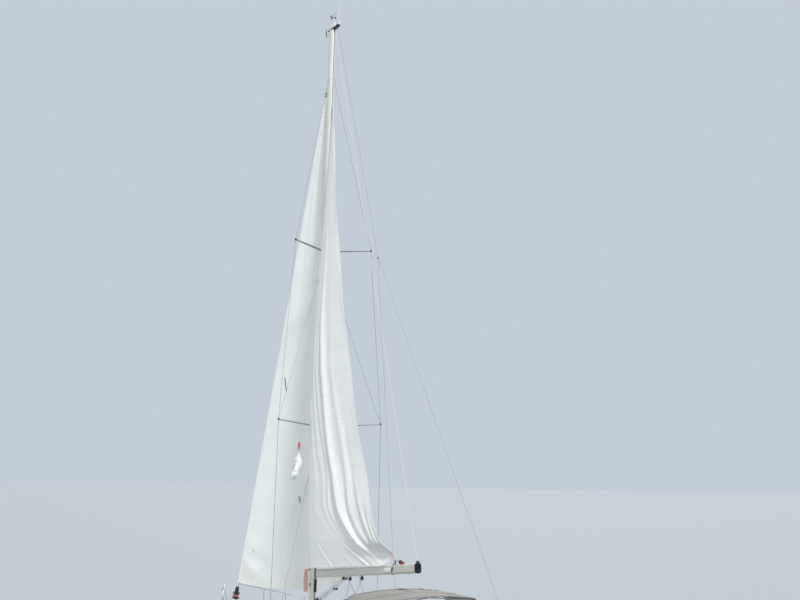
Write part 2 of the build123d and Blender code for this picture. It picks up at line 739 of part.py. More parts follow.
def make_slide():
    """Sliding hatch with the lip that its hand grips."""
    aft = CABIN_AFT_X - 60
    slide = block(aft, HATCHWAY_FORE_X + 60, -SLIDE_HALF, SLIDE_HALF, SLIDE_Z, SLIDE_Z + SLIDE_THICK)
    return slide + block(aft, aft + 16, -SLIDE_HALF + 60, SLIDE_HALF - 60, SLIDE_Z - 30, SLIDE_Z + 5)


def slide_runners():
    """Rails either side of the hatchway that carry the slide."""
    return [block(CABIN_AFT_X - 38, HATCHWAY_FORE_X + 40, side * (DOORWAY_HALF + 5), side * SLIDE_HALF,
                  FRAME_LOW_Z, SLIDE_Z - FIT) for side in (1, -1)]


def make_mast_step():
    return block(MAST_X - 180, MAST_X + 180, -110, 110, FRAME_LOW_Z, MAST_FOOT_Z)


def make_coachroof(hull_form, trunk_form, trunk_space, cockpit_form):
    """Trunk with hatch frames, slide rails, sea hood and mast step, and its panes."""
    roof = trunk_form - hull_form - trunk_space
    forms = [hatch_frame("saloon_hatch"), hatch_frame("fore_hatch"), make_mast_step(), make_sea_hood()]
    for form in forms + slide_runners():
        roof += form - trunk_space - hull_form
    roof -= hatch_way("saloon_hatch", TRUNK_BASE_Z + 250)
    roof -= hatch_way("fore_hatch", TRUNK_BASE_Z + 250)
    roof -= block(CABIN_AFT_X, HATCHWAY_FORE_X, -DOORWAY_HALF, DOORWAY_HALF, FRAME_LOW_Z, SEA_HOOD_TOP_Z)
    roof -= doorway_way()
    roof -= cockpit_form
    panes = []
    for cut in window_blocks():
        panes.extend((roof & cut).solids())
        roof -= cut
    return largest(roof), Compound(children=panes)


def doorway_way():
    """Clear way through the bulkhead between cockpit and cabin."""
    return block(COCKPIT_FORE_X - 100, CABIN_AFT_X + 1, -DOORWAY_HALF, DOORWAY_HALF, DOORWAY_SILL_Z,
                 SEA_HOOD_TOP_Z)


def mast_plane():
    """Plane across the mast at its foot, and the mast's length above it."""
    rake = radians(MAST_RAKE)
    foot = Vector(*mast_point((MAST_FOOT_Z - GOOSENECK_Z) / cos(rake)))
    head = Vector(*mast_point(MASTHEAD))
    return Plane(origin=foot, x_dir=(cos(rake), 0, sin(rake)), z_dir=head - foot), (head - foot).length


def make_mast_sleeve():
    """Outside of the mast with the gap that a fitted piece leaves."""
    plane, length = mast_plane()
    return extrude(plane * Ellipse(MAST_LONG / 2 + FIT, MAST_WIDE / 2 + FIT), length)


def make_mast():
    """Furling section with its slot aft, on the step."""
    plane, length = mast_plane()
    section = Ellipse(MAST_LONG / 2, MAST_WIDE / 2)
    slot = Pos(-MAST_LONG / 2 + SLOT_DEEP / 2 - 5, 0) * Rectangle(SLOT_DEEP + 10, SLOT_WIDE)
    mast = extrude(plane * (section - slot), length)
    return mast - block(MAST_X - MAST_LONG, MAST_X + MAST_LONG, -MAST_WIDE, MAST_WIDE, MAST_FOOT_Z - 200,
                        MAST_FOOT_Z)


def spreader_tip(height, half_span, side):
    root = Vector(*mast_point(height))
    return root + Vector(-half_span * tan(radians(SPREADER_SWEEP)), side * half_span, 0.06 * half_span)


def make_spreaders(sleeve):
    """Swept arms with round tips that hold the shrouds."""
    arms = []
    for height, half_span, root_chord, tip_chord, thick in SPREADERS:
        for side in (1, -1):
            root, tip = Vector(*mast_point(height)), spreader_tip(height, half_span, side)
            along = tip - root
            level = Vector(-along.Y, along.X, 0).normalized() * side
            near = Plane(origin=root + along.normalized() * 20, x_dir=level, z_dir=along)
            far = Plane(origin=tip, x_dir=level, z_dir=along)
            tip_section = Ellipse(tip_chord / 2, thick / 2 - 4)
            arm = loft([near * Ellipse(root_chord / 2, thick / 2), far * tip_section])
            arm += Pos(*tip) * Sphere(tip_chord / 2 - 14)
            arms.append(largest(arm - sleeve))
    return Compound(children=arms)


def wire(start, end, *cut_by, radius=WIRE):
    """Wire trimmed to the pieces that hold its ends."""
    line = rod(start, end, radius)
    for piece in cut_by:
        line -= piece
    return largest(line)


def chain_point(side, aft=0, inboard=0):
    x, y = CHAIN_X - aft, CHAIN_Y - inboard
    return x, side * y, deck_z(x, y) + CHAIN_HIGH


def backstay_chain(side):
    return BACKSTAY_X, side * BACKSTAY_Y, deck_z(BACKSTAY_X, BACKSTAY_Y) + CHAIN_HIGH


def make_chainplates(deck):
    """Deck plates of the shrouds and of the backstay's legs."""
    plates = []
    for side in (1, -1):
        for x, y, z in (chain_point(side), chain_point(side, *INNER_CHAIN), backstay_chain(side)):
            plates.append(block(x - 25, x + 25, y - 7, y + 7, z - CHAIN_HIGH - ROOT, z))
    return cut_feet(plates, deck)


def make_shrouds(mast, spreaders, chainplates):
    wires = []
    for side in (1, -1):
        chain, inner = chain_point(side), chain_point(side, *INNER_CHAIN)
        low = spreader_tip(LOWER_SPREADER, LOWER_HALF_SPAN, side)
        high = spreader_tip(UPPER_SPREADER, UPPER_HALF_SPAN, side)
        runs = [
            (chain, low, WIRE + 1),
            (low, high, WIRE),
            (high, mast_point(HOUNDS), WIRE),
            (inner, mast_point(LOWER_SPREADER - TANG_DROP), WIRE),
            (low, mast_point(UPPER_SPREADER - TANG_DROP), WIRE - 1),
        ]
        for start, end, radius in runs:
            wires.append(wire(tuple(start), tuple(end), mast, spreaders, chainplates, radius=radius))
    return Compound(children=wires)


def crane_low():
    """Underside of the crane, just clear of the raked mast's end."""
    return GOOSENECK_Z + MASTHEAD * cos(radians(MAST_RAKE)) + 3


def masthead_top():
    return crane_low() + CRANE_HIGH


def masthead_x(aft):
    """Place along the crane, aft of the mast's axis."""
    return mast_point(MASTHEAD)[0] - aft


def make_masthead():
    """Crane on the mast's top, its ends cut back below."""
    low, high = crane_low(), masthead_top()
    aft, fore = masthead_x(CRANE_AFT + CRANE_TAIL), masthead_x(-CRANE_FORE)
    slope = 90
    side = polygon_xz([(aft + slope, low), (fore - slope, low), (fore, low + CRANE_HIGH / 2), (fore, high),
                       (aft, high), (aft, low + CRANE_HIGH / 2)])
    return extrude(side, CRANE_HALF, both=True, dir=(0, 1, 0))


def stay_point(z):
    """Point of the forestay at a height."""
    foot = Vector(STAY_FOOT_X, 0, STEMHEAD_Z)
    head = Vector(*mast_point(HOUNDS))
    return foot + (head - foot) * ((z - foot.Z) / (head.Z - foot.Z))


def stemhead_top():
    return deck_z(STAY_FOOT_X, 0) + 30


def bow_bed():
    """Room that the toe rails leave for the bow fitting."""
    return block(STAY_FOOT_X - 125, BOW_X + 100, -85, 65, deck_z(STAY_FOOT_X, 0), STEMHEAD_Z)


def make_stemhead(deck):
    """Bow fitting with the stay's lug and the cheeks of the anchor roller ahead of it."""
    base_z = deck_z(STAY_FOOT_X, 0)
    fitting = block(STAY_FOOT_X - 120, BOW_X + 60, -80, 60, base_z - ROOT, stemhead_top())
    fitting += block(STAY_FOOT_X - 40, STAY_FOOT_X + 40, -12, 12, base_z, STEMHEAD_Z)
    for y in (ANCHOR_Y - 26, ANCHOR_Y + 16):
        cheek = polygon_xz([(BOW_X - 140, stemhead_top() - 5), (BOW_X - 80, stemhead_top() + 60),
                            (BOW_X + 60, stemhead_top() + 60), (BOW_X + 60, stemhead_top() - 5)])
        fitting += Pos(0, y, 0) * extrude(cheek, 10, dir=(0, 1, 0))
    return largest(fitting - deck)


def make_anchor():
    """Plough anchor: shank along the roller and a fluke folded from two plates."""
    low = stemhead_top() + FIT
    aft, fore = ANCHOR_SHANK
    tip = fore + 150
    shank = polygon_xz([(aft, low), (fore, low), (tip, low - 90), (tip + 40, low - 60), (fore + 20, low + 55),
                        (fore - 120, low + 62), (aft, low + 34)])
    anchor = Pos(0, ANCHOR_Y - ANCHOR_PLATE / 2, 0) * extrude(shank, ANCHOR_PLATE, dir=(0, 1, 0))
    ridge = [(fore + 90, ANCHOR_Y, low - 20), (tip + 60, ANCHOR_Y, low - 330)]
    for side in (1, -1):
        wing = (fore + 110, ANCHOR_Y + side * FLUKE_HALF, low - 120)
        plate = Face(Wire.make_polygon([ridge[0], ridge[1], wing], close=True))
        anchor += extrude(plate, ANCHOR_PLATE / 2, both=True, dir=(1, 0, 0))
    return largest(anchor)


def make_furler():
    """Drum of the headsail furler round the forestay."""
    low, high = stay_point(DRUM_LOW_Z), stay_point(DRUM_HIGH_Z)
    plane = Plane(origin=low, z_dir=high - low)
    length = (high - low).length
    body = extrude(plane * Circle(DRUM_CORE), length)
    for offset, thick, radius in DRUM_ROWS:
        body += extrude(plane.offset(offset) * Circle(radius), thick)
    return body - extrude(plane.offset(-10) * Circle(FOIL + FIT), length + 20)


def make_forestay(mast, stemhead):
    return wire(tuple(stay_point(STEMHEAD_Z)), mast_point(HOUNDS), mast, stemhead, radius=FOIL)


def make_backstay(masthead, chainplates):
    head = (masthead_x(CRANE_AFT), 0, crane_low() + CRANE_HIGH / 2)
    split = (BACKSTAY_SPLIT[0], 0, BACKSTAY_SPLIT[1])
    stay = rod(head, split, WIRE) - masthead
    stay += Pos(*split) * Sphere(28)
    for side in (1, -1):
        stay += rod(split, backstay_chain(side), WIRE - 1) - chainplates
    return largest(stay)


def swing_axis_point(height):
    """Point of the axis that the boom swings about."""
    return Vector(*mast_point(height, aft=MAST_LONG / 2 + SWING_GAP))


def axis_rod(low, high, radius):
    """Bar on the swing axis between two heights from the gooseneck."""
    return rod(tuple(swing_axis_point(low)), tuple(swing_axis_point(high)), radius)


def boom_point(reach, up=0):
    """Point at a reach from the mast's axis along the boom."""
    run = reach - MAST_LONG / 2 - SWING_GAP
    side, rise = radians(BOOM_SIDE), radians(BOOM_RISE)
    return swing_axis_point(0) + Vector(-cos(side) * cos(rise) * run, sin(side) * cos(rise) * run,
                                        sin(rise) * run + up)


def boom_plane(reach):
    """Plane across the boom, its X to starboard."""
    side = radians(BOOM_SIDE)
    return Plane(origin=boom_point(reach), x_dir=(-sin(side), -cos(side), 0),
                 z_dir=boom_point(reach + 100) - boom_point(reach))


def make_boom():
    """Spar with its end casting, its toggle and the eye on the gooseneck's pin."""
    end = BOOM_LENGTH - BOOM_END
    section = RectangleRounded(BOOM_WIDE, BOOM_HIGH, BOOM_CORNER)
    casting = RectangleRounded(BOOM_WIDE + 8, BOOM_HIGH + 10, BOOM_CORNER + 3)
    spar = extrude(boom_plane(BOOM_START) * section, end - BOOM_START)
    spar += extrude(boom_plane(end) * casting, BOOM_END)
    spar += rod(tuple(boom_point(BOOM_START)), tuple(boom_point(MAST_LONG / 2 + SWING_GAP + 6)), 22)
    spar += axis_rod(-EYE_HALF + FIT, EYE_HALF - FIT, EYE_RADIUS)
    return spar - axis_rod(-EYE_HALF - 5, EYE_HALF + 5, GOOSENECK_PIN + FIT)


def make_bracket(mast, middle, eye_half, lug, pin, radius, arm):
    """Two lugs on the mast that hold an eye on a pin on the swing axis."""
    bracket = axis_rod(middle - eye_half - lug, middle + eye_half + lug, pin)
    for low in (middle - eye_half - lug, middle + eye_half):
        bracket += axis_rod(low, low + lug, radius)
        centre = low + lug / 2
        bracket += rod(tuple(swing_axis_point(centre)), mast_point(centre, aft=MAST_LONG / 2 - 30), arm)
    return largest(bracket - mast)


def make_gooseneck(mast):
    return make_bracket(mast, 0, EYE_HALF, 35, GOOSENECK_PIN, EYE_RADIUS - 2, 17)


def make_vang_bracket(mast):
    return make_bracket(mast, VANG_LOW, VANG_EYE + FIT, VANG_LUG, VANG_PIN, 22, 15)


def make_vang(boom):
    """Rod kicker from the mast's foot to the underside of the boom."""
    low = swing_axis_point(VANG_LOW)
    high = boom_point(VANG_REACH, up=-BOOM_HIGH / 2 + 20)
    along = (high - low).normalized()
    near, far = VANG_BARREL
    vang = rod(tuple(low), tuple(low + along * (near + 20)), 11)
    vang += rod(tuple(low + along * near), tuple(low + along * far), 26)
    vang += rod(tuple(low + along * (far - 50)), tuple(high), 18)
    vang -= boom
    vang += axis_rod(VANG_LOW - VANG_EYE, VANG_LOW + VANG_EYE, 22)
    return vang - axis_rod(VANG_LOW - VANG_EYE - 20, VANG_LOW + VANG_EYE + 20, VANG_PIN + FIT)


def cloth_section(camber, at, belly):
    """Thin slice of a sail through its camber points. at(share, out, side) places a point."""
    port = [at(share, out * belly, CLOTH / 2) for share, out in camber]
    star = [at(share, out * belly, -CLOTH / 2) for share, out in camber]
    return Face(Wire([
        ThreePointArc(port[0], port[1], port[2]),
        ThreePointArc(port[2], port[3], port[4]),
        Line(port[4], star[4]),
        ThreePointArc(star[4], star[3], star[2]),
        ThreePointArc(star[2], star[1], star[0]),
        Line(star[0], port[0]),
    ]))


def main_section(height, chord, angle, depth):
    """Level slice of the mainsail, its belly to port, rising aft with the boom at the foot."""
    luff = swing_axis_point(height) - Vector(6, 0, 0)
    slope = tan(radians(BOOM_RISE)) * max(0, 1 - height / 4000)
    a = radians(angle)

    def at(share, out, shift):
        along = share * chord
        x = luff.X - cos(a) * along + sin(a) * out
        y = luff.Y + sin(a) * along + cos(a) * out + shift
        return x, y, luff.Z + slope * (luff.X - x)

    return cloth_section(MAIN_CAMBER, at, depth * chord)


def make_mainsail():
    return loft([main_section(*row) for row in MAIN_ROWS])


def make_outhaul(boom, mainsail):
    """Car on the boom that holds the sail's clew."""
    reach = MAIN_ROWS[0][1] + MAST_LONG / 2 + SWING_GAP - 25
    low, high = BOOM_HIGH / 2 - 30, BOOM_HIGH / 2 + 90
    seat = Box(46, 26, 150, align=(Align.CENTER, Align.CENTER, Align.MIN))
    car = boom_plane(reach - 110) * (Pos(0, BOOM_HIGH / 2 - 3, 0) * seat)
    car += rod(tuple(boom_point(reach, up=low)), tuple(boom_point(reach, up=high)), 16)
    return largest(car - boom - mainsail)


def genoa_luff(share):
    """Luff in the furling extrusion's groove, just clear of it."""
    clear = (FOIL + FIT) / cos(radians(20)) + CLOTH / 8
    return stay_point(GENOA_TACK_Z + share * (GENOA_HEAD_Z - GENOA_TACK_Z)) - Vector(clear, 0, 0)


def genoa_section(share, hollow, depth):
    luff, clew = genoa_luff(share), Vector(*GENOA_CLEW)
    head = stay_point(GENOA_HEAD_Z) - Vector(FOIL + GENOA_HEAD_CHORD, 20, 0)
    chord = clew + (head - clew) * share + Vector(hollow, 0, 0) - luff
    out = Vector(chord.Y, -chord.X, 0).normalized()
    out = out if out.Y < 0 else out * -1

    def at(along, belly, shift):
        return tuple(luff + chord * along + out * (belly + shift))

    return cloth_section(GENOA_CAMBER, at, depth * chord.length)


def make_genoa():
    """Sail with its foot cut to a round."""
    sail = loft([genoa_section(*row) for row in GENOA_ROWS])
    tack, clew = genoa_luff(0), Vector(*GENOA_CLEW)
    foot = clew - tack
    low = (tack + clew) * 0.5 - Vector(0, 0, GENOA_FOOT_ROUND)
    before, after = tack - foot * 0.2, clew + foot * 0.2
    drop = Vector(0, 0, 3 * GENOA_FOOT_ROUND + 400)
    below = Face(Wire([
        Line(before, tack),
        ThreePointArc(tack, low, clew),
        Line(clew, after),
        Line(after, after - drop),
        Line(after - drop, before - drop),
        Line(before - drop, before),
    ]))
    across = Vector(-foot.Y, foot.X, 0).normalized()
    return largest(sail - extrude(below, HALF_BEAM, both=True, dir=tuple(across)))


def rail_point(x, high, inset=RAIL_SIDE_INSET):
    y = half_beam(x) - inset
    return x, y, deck_z(x, y) + high


def make_stanchions(deck):
    posts = []
    for x in STANCHION_X:
        for side in (1, -1):
            _, y, z = rail_point(x, 0)
            post = rod((x, side * y, z - ROOT), (x, side * y, z + STANCHION_HIGH), TUBE)
            posts.append(post + rod((x, side * y, z - ROOT), (x, side * y, z + 45), 30))
    return cut_feet(posts, deck)


def make_pulpit(deck):
    """Bow rail, open ahead of the stay."""
    aft_x, leg_x, fore_x = 4600, 5350, 6250
    ax, ay, az = rail_point(aft_x, STANCHION_HIGH)
    fy, fz = 230, rail_point(fore_x, STANCHION_HIGH + 60, inset=60)[2]
    halves = []
    share = (leg_x - aft_x) / (fore_x - aft_x)
    knee_y, knee_z = ay + (fy - ay) * share, az + (fz - az) * share
    for side in (1, -1):
        half = tube_path([(ax, side * ay, az), (fore_x, side * fy, fz),
                          (fore_x + 90, side * (fy - 30), fz - 150),
                          (fore_x - 60, side * 120, deck_z(fore_x - 60, 120) - ROOT)], TUBE, 60)
        _, ly, lz = rail_point(leg_x, -ROOT, inset=90)
        half += rod((leg_x, side * ly, lz), (leg_x, side * knee_y, knee_z), TUBE - 1)
        _, by, bz = rail_point(aft_x, -ROOT)
        half += rod((aft_x + 12, side * by, bz), (aft_x + 12, side * ay, az), TUBE - 1)
        halves.append(half)
    return cut_feet(halves, deck)


def make_pushpit(deck, cockpit):
    """Stern rails, open at the passage to the platform."""
    fore_x, leg_x, aft_x = -4700, -5450, -6300
    _, fy, fz = rail_point(fore_x, STANCHION_HIGH)
    _, ay, az = rail_point(aft_x, STANCHION_HIGH)
    inner = PASSAGE_HALF + 120
    halves = []
    for side in (1, -1):
        half = tube_path([(fore_x, side * fy, fz), (aft_x, side * ay, az), (aft_x, side * inner, az),
                          (aft_x, side * inner, deck_z(aft_x, inner) - ROOT)], TUBE, 110)
        for x in (fore_x - 12, leg_x):
            _, y, z = rail_point(x, -ROOT)
            share = (x - fore_x) / (aft_x - fore_x)
            top_y, top_z = fy + (ay - fy) * share, fz + (az - fz) * share
            half += rod((x, side * y, z), (x, side * top_y, top_z), TUBE - 1)
        corner_x = aft_x + 170
        _, y, z = rail_point(corner_x, 0)
        half += rod((corner_x, side * y, z - ROOT), (corner_x, side * y, z + STANCHION_HIGH - 4), TUBE - 1)
        halves.append(half)
    return cut_feet(halves, deck, cockpit)


def make_winch(radius, high):
    """Self-tailing winch: skirt, waisted drum and the jaws' ring."""
    waist = 0.62 * radius
    profile = Face(Wire([
        Line((0, 0, 0), (radius, 0, 0)),
        Line((radius, 0, 0), (radius, 0, 0.12 * high)),
        Line((radius, 0, 0.12 * high), (0.75 * radius, 0, 0.22 * high)),
        ThreePointArc((0.75 * radius, 0, 0.22 * high), (waist, 0, 0.45 * high),
                      (0.72 * radius, 0, 0.72 * high)),
        Line((0.72 * radius, 0, 0.72 * high), (0.88 * radius, 0, 0.8 * high)),
        Line((0.88 * radius, 0, 0.8 * high), (0.88 * radius, 0, 0.93 * high)),
        Line((0.88 * radius, 0, 0.93 * high), (0.5 * radius, 0, high)),
        Line((0.5 * radius, 0, high), (0, 0, high)),
        Line((0, 0, high), (0, 0, 0)),
    ]))
    return revolve(profile, Axis.Z)


def roof_z(x, y):
    """Height of the trunk's top."""
    for aft, fore in zip(TRUNK, TRUNK[1:]):
        if x <= fore[0]:
            share = (x - aft[0]) / (fore[0] - aft[0])
            _, _, half, shoulder, crown = [a + (b - a) * share for a, b in zip(aft, fore)]
            return shoulder + crown * (1 - (y / half)**2)
    return TRUNK[-1][3]


def make_winches(coachroof, cockpit):
    """Winches on the coamings and on the coachroof."""
    winches = []
    for x, y, radius, high in WINCHES:
        on_coaming = x < COCKPIT_FORE_X
        seat = coaming_z(x) if on_coaming else roof_z(x, y)
        for side in (1, -1):
            winches.append(Pos(x, side * y, seat - 0.12 * high) * make_winch(radius, 1.12 * high))
    return cut_feet(winches, coachroof, cockpit)


def make_cleats(deck):
    """Two-horned mooring cleats along the deck's edge, their horns one turned bar."""
    half, waist = CLEAT_LONG / 2, CLEAT_LONG * 0.19
    outline = Polyline((-half, 0), (-half, 6), (5 - half, 9), (-waist, 14), (waist, 14), (half - 5, 9),
                       (half, 6), (half, 0), close=True)
    horns = revolve(Plane.XZ * make_face(outline), Axis.X)
    cleats = []
    for x, inset in CLEATS:
        for side in (1, -1):
            _, y, z = rail_point(x, 0, inset=inset)
            y, top = side * y, z + CLEAT_HIGH
            cleat = Pos(x, y, top) * horns
            for leg in (x - 35, x + 35):
                cleat += rod((leg, y, z - ROOT), (leg, y, top), 16, 12)
            cleats.append(cleat)
    return cut_feet(cleats, deck)


def make_genoa_tracks(deck):
    """Tracks on the side decks, each with its sheet car."""
    tracks = []
    aft, fore = TRACK_X
    for side in (1, -1):
        y = side * TRACK_Y
        low = [(x, y, deck_z(x, TRACK_Y)) for x in TRACK_X]
        track = polygon_xz([(aft, low[0][2] - ROOT), (fore, low[1][2] - ROOT), (fore, low[1][2] + TRACK_HIGH),
                            (aft, low[0][2] + TRACK_HIGH)])
        track = Pos(0, y, 0) * extrude(track, TRACK_WIDE / 2, both=True, dir=(0, 1, 0))
        seat = deck_z(CAR_X, TRACK_Y) + TRACK_HIGH - 8
        track += block(CAR_X - CAR_LONG / 2, CAR_X + CAR_LONG / 2, y - 30, y + 30, seat, seat + 22)
        sheave = (CAR_X, y - 14, seat + CAR_HIGH - 32), (CAR_X, y + 14, seat + CAR_HIGH - 32)
        track += rod(*sheave, 32)
        tracks.append(track)
    return cut_feet(tracks, deck)


def make_grab_rails(coachroof):
    """Hand rails along the coachroof, on three legs each."""
    rails = []
    for side in (1, -1):
        points = [(x, side * GRAB_Y, roof_z(x, GRAB_Y)) for x in GRAB_X]
        high = [(x, y, z + GRAB_HIGH) for x, y, z in points]
        rail = rod(high[0], high[1], GRAB_TUBE) + rod(high[1], high[2], GRAB_TUBE)
        for (x, y, z), top in zip(points, high):
            rail += rod((x, y, z - ROOT / 2), top, GRAB_TUBE)
            rail += Pos(*top) * Sphere(GRAB_TUBE)
        rails.append(rail)
    return cut_feet(rails, coachroof)


def arch(x, half, edge_z, top_z, base_z):
    """Closed section under an arch, from a level base."""
    corner = half * 0.86
    shoulder = edge_z + (top_z - edge_z) * 0.62
    bend_y, bend_z = corner + (half - corner) * 0.72, edge_z + (shoulder - edge_z) * 0.72
    return Face(Wire([
        Line((x, -half, base_z), (x, half, base_z)),
        Line((x, half, base_z), (x, half, edge_z)),
        ThreePointArc((x, half, edge_z), (x, bend_y, bend_z), (x, corner, shoulder)),
        ThreePointArc((x, corner, shoulder), (x, 0, top_z), (x, -corner, shoulder)),
        ThreePointArc((x, -corner, shoulder), (x, -bend_y, bend_z), (x, -half, edge_z)),
        Line((x, -half, edge_z), (x, -half, base_z)),
    ]))


def make_bimini():
    """Canopy with short skirts, open at both ends."""
    low = BIMINI_EDGE_Z - BIMINI_HEM
    outer = loft([arch(x, BIMINI_HALF, BIMINI_EDGE_Z - drop, BIMINI_TOP_Z - drop, low)
                  for x, drop in BIMINI_ROWS])
    reach = 20
    aft, middle, fore = BIMINI_ROWS
    under = [(aft[0] - reach, aft[1] + 1), middle, (fore[0] + reach, 0)]
    inner = loft([arch(x, BIMINI_HALF - CANVAS, BIMINI_EDGE_Z - drop, BIMINI_TOP_Z - drop - CANVAS, low - 50)
                  for x, drop in under])
    return outer - inner


def make_bimini_frame(cockpit):
    """Two hoops of tube that meet at a foot on each coaming."""
    frame = None
    side = BIMINI_HALF - CANVAS - TUBE - 4
    tube = TUBE - 1
    for (x, drop), inward in ((BIMINI_ROWS[0], 60), (BIMINI_ROWS[2], -60)):
        x += inward
        edge = BIMINI_EDGE_Z - drop - 60
        top = BIMINI_TOP_Z - drop - CANVAS - tube - FIT
        foot = (BIMINI_PIVOT_X - inward / 3, side, COAMING_Z + 30)
        points = [foot, (x, side, edge), (x, side - 160, top - 98), (x, 0, top)]
        mirrored = [(px, -py, pz) for px, py, pz in points[:-1]]
        hoop = tube_path(points + mirrored[::-1], tube, 120)
        frame = hoop if frame is None else frame + hoop
    for sign in (1, -1):
        frame += block(BIMINI_PIVOT_X - 45, BIMINI_PIVOT_X + 45, sign * side - 20, sign * side + 20,
                       COAMING_Z - 60, COAMING_Z + 45)
    return largest(frame - cockpit)


def make_sprayhood(trunk_form):
    """Hood from the trunk's top to its aft hoop, cut round the slide's hood."""
    outer = loft([arch(*row, HOOD_BASE_Z) for row in HOOD_ROWS], ruled=True)
    first, last = HOOD_ROWS[0], HOOD_ROWS[-1]
    under = [(first[0] + 12,) + first[1:]] + HOOD_ROWS[1:-1] + [(last[0] - 30,) + last[1:]]
    inner = loft([arch(x, half - CANVAS, edge, top - CANVAS, HOOD_BASE_Z - 50)
                  for x, half, edge, top in under], ruled=True)
    half = SEA_HOOD_HALF + FIT
    opening = block(HATCHWAY_FORE_X, SEA_HOOD_FORE_X, -half, half, HOOD_BASE_Z, SEA_HOOD_TOP_Z + FIT)
    return largest(outer - inner - trunk_form - opening)


def make_platform():
    """Panel that closes the transom and folds down to stand on."""
    panel = block(STERN_X, STERN_X + PLATFORM_THICK, -PLATFORM_HALF, PLATFORM_HALF, PLATFORM_LOW_Z + FIT,
                  SHEER_STERN_Z + 20)
    return fillet(panel.edges().filter_by(Axis.X), PLATFORM_CORNER)


def make_engine():
    """Auxiliary engine, one block at its place and size."""
    return block(-2200, -1450, -270, 270, CABIN_SOLE_Z, 430)


def make_companionway_steps():
    """Steps from the cabin sole up to the doorway, ahead of the engine."""
    tread, rise, count = 230, 260, 3
    aft, half = -1440, 260
    steps = [block(aft, aft + tread * (count - index), -half, half, CABIN_SOLE_Z,
                   CABIN_SOLE_Z + rise * (index + 1)) for index in range(count)]
    return steps[0] + steps[1] + steps[2]


def make_antenna():
    """Whip on the crane, and the white anchor light beside it."""
    x, z = masthead_x(ANTENNA[0]), masthead_top()
    whip = rod((x, ANTENNA[1], z), (x, ANTENNA[1], z + 120), 14)
    whip += rod((x, ANTENNA[1], z + 110), (x, ANTENNA[1], z + ANTENNA_HIGH), 4, 2)
    light_x = masthead_x(LIGHT_AFT)
    light = rod((light_x, 0, z), (light_x, 0, z + LIGHT_HIGH - LIGHT_RADIUS), LIGHT_RADIUS)
    light += Pos(light_x, 0, z + LIGHT_HIGH - LIGHT_RADIUS) * Sphere(LIGHT_RADIUS)
    return Compound(children=[whip, light])


def make_instrument_arms(masthead):
    """Arm that carries the cups above the crane, and the vane's arm ahead of it."""
    top = masthead_top()
    cups_x, vane_x = masthead_x(-CUPS_FORE), masthead_x(-VANE_FORE)
    high = top + ARM_HIGH
    upper = tube_path([(masthead_x(ARM_AFT), ARM_SIDE, top), (masthead_x(ARM_AFT), ARM_SIDE, high),
                       (cups_x, 0, high)], ARM, 40)
    upper += rod((cups_x, 0, high + ARM), (cups_x, 0, high - CUPS_DROP), 12)
    upper += rod((cups_x, 0, high), (cups_x, 0, high - CUPS_DROP - 33), 4)
    seat = top - VANE_DROP
    root_x, level = masthead_x(-CRANE_FORE + 40), seat - 25
    lower = tube_path([(root_x, 0, top - 10), (root_x, 0, level), (vane_x, 0, level)], ARM, 30) - masthead
    lower = largest(lower) + rod((vane_x, 0, level - 14), (vane_x, 0, seat), 14)
    lower += rod((vane_x, 0, seat), (vane_x, 0, seat + 40), 4)
    return Compound(children=[upper, lower])


def make_wind_vane():
    """Vane on its spindle: a tall tail fin and a balanced nose."""
    x, z = masthead_x(-VANE_FORE), masthead_top() - VANE_DROP + FIT
    hub = rod((x, 0, z), (x, 0, z + VANE_HIGH - 10), 10) - rod((x, 0, z - 5), (x, 0, z + 50), 4 + FIT)
    for level in (30, VANE_HIGH - 35):
        hub += rod((x - 8, 0, z + level), (x - VANE_REACH + 40, 0, z + level), 4)
    hub += rod((x + 8, 0, z + 90), (x + VANE_REACH - 40, 0, z + 90), 4)
    hub += Pos(x + VANE_REACH - 40, 0, z + 90) * Sphere(11)
    hub += block(x - VANE_REACH, x - VANE_REACH + 60, -2, 2, z, z + VANE_HIGH)
    return hub.rotate(Axis((x, 0, 0), (0, 0, 1)), -VANE_ANGLE)


def make_wind_cups():
    """Three half-round cups under the arm's end."""
    x, z = masthead_x(-CUPS_FORE), masthead_top() + ARM_HIGH - CUPS_DROP - FIT
    cups = rod((x, 0, z), (x, 0, z - 26), 14) - rod((x, 0, z + 5), (x, 0, z - 33 + FIT), 4 + FIT)
    level = z - 13
    reach = x + CUPS_REACH
    cup = Pos(reach, 0, level) * Sphere(CUP) - Pos(reach, 0, level) * Sphere(CUP - 4)
    cup -= block(reach - CUP - 1, reach + CUP + 1, 0, CUP + 1, level - CUP - 1, level + CUP + 1)
    cup += rod((x + 12, 0, level), (reach - 2, 0, level), 4) - Pos(reach, 0, level) * Sphere(CUP - 2)
    for index in range(3):
        cups += cup.rotate(Axis((x, 0, 0), (0, 0, 1)), 120 * index)
    return cups


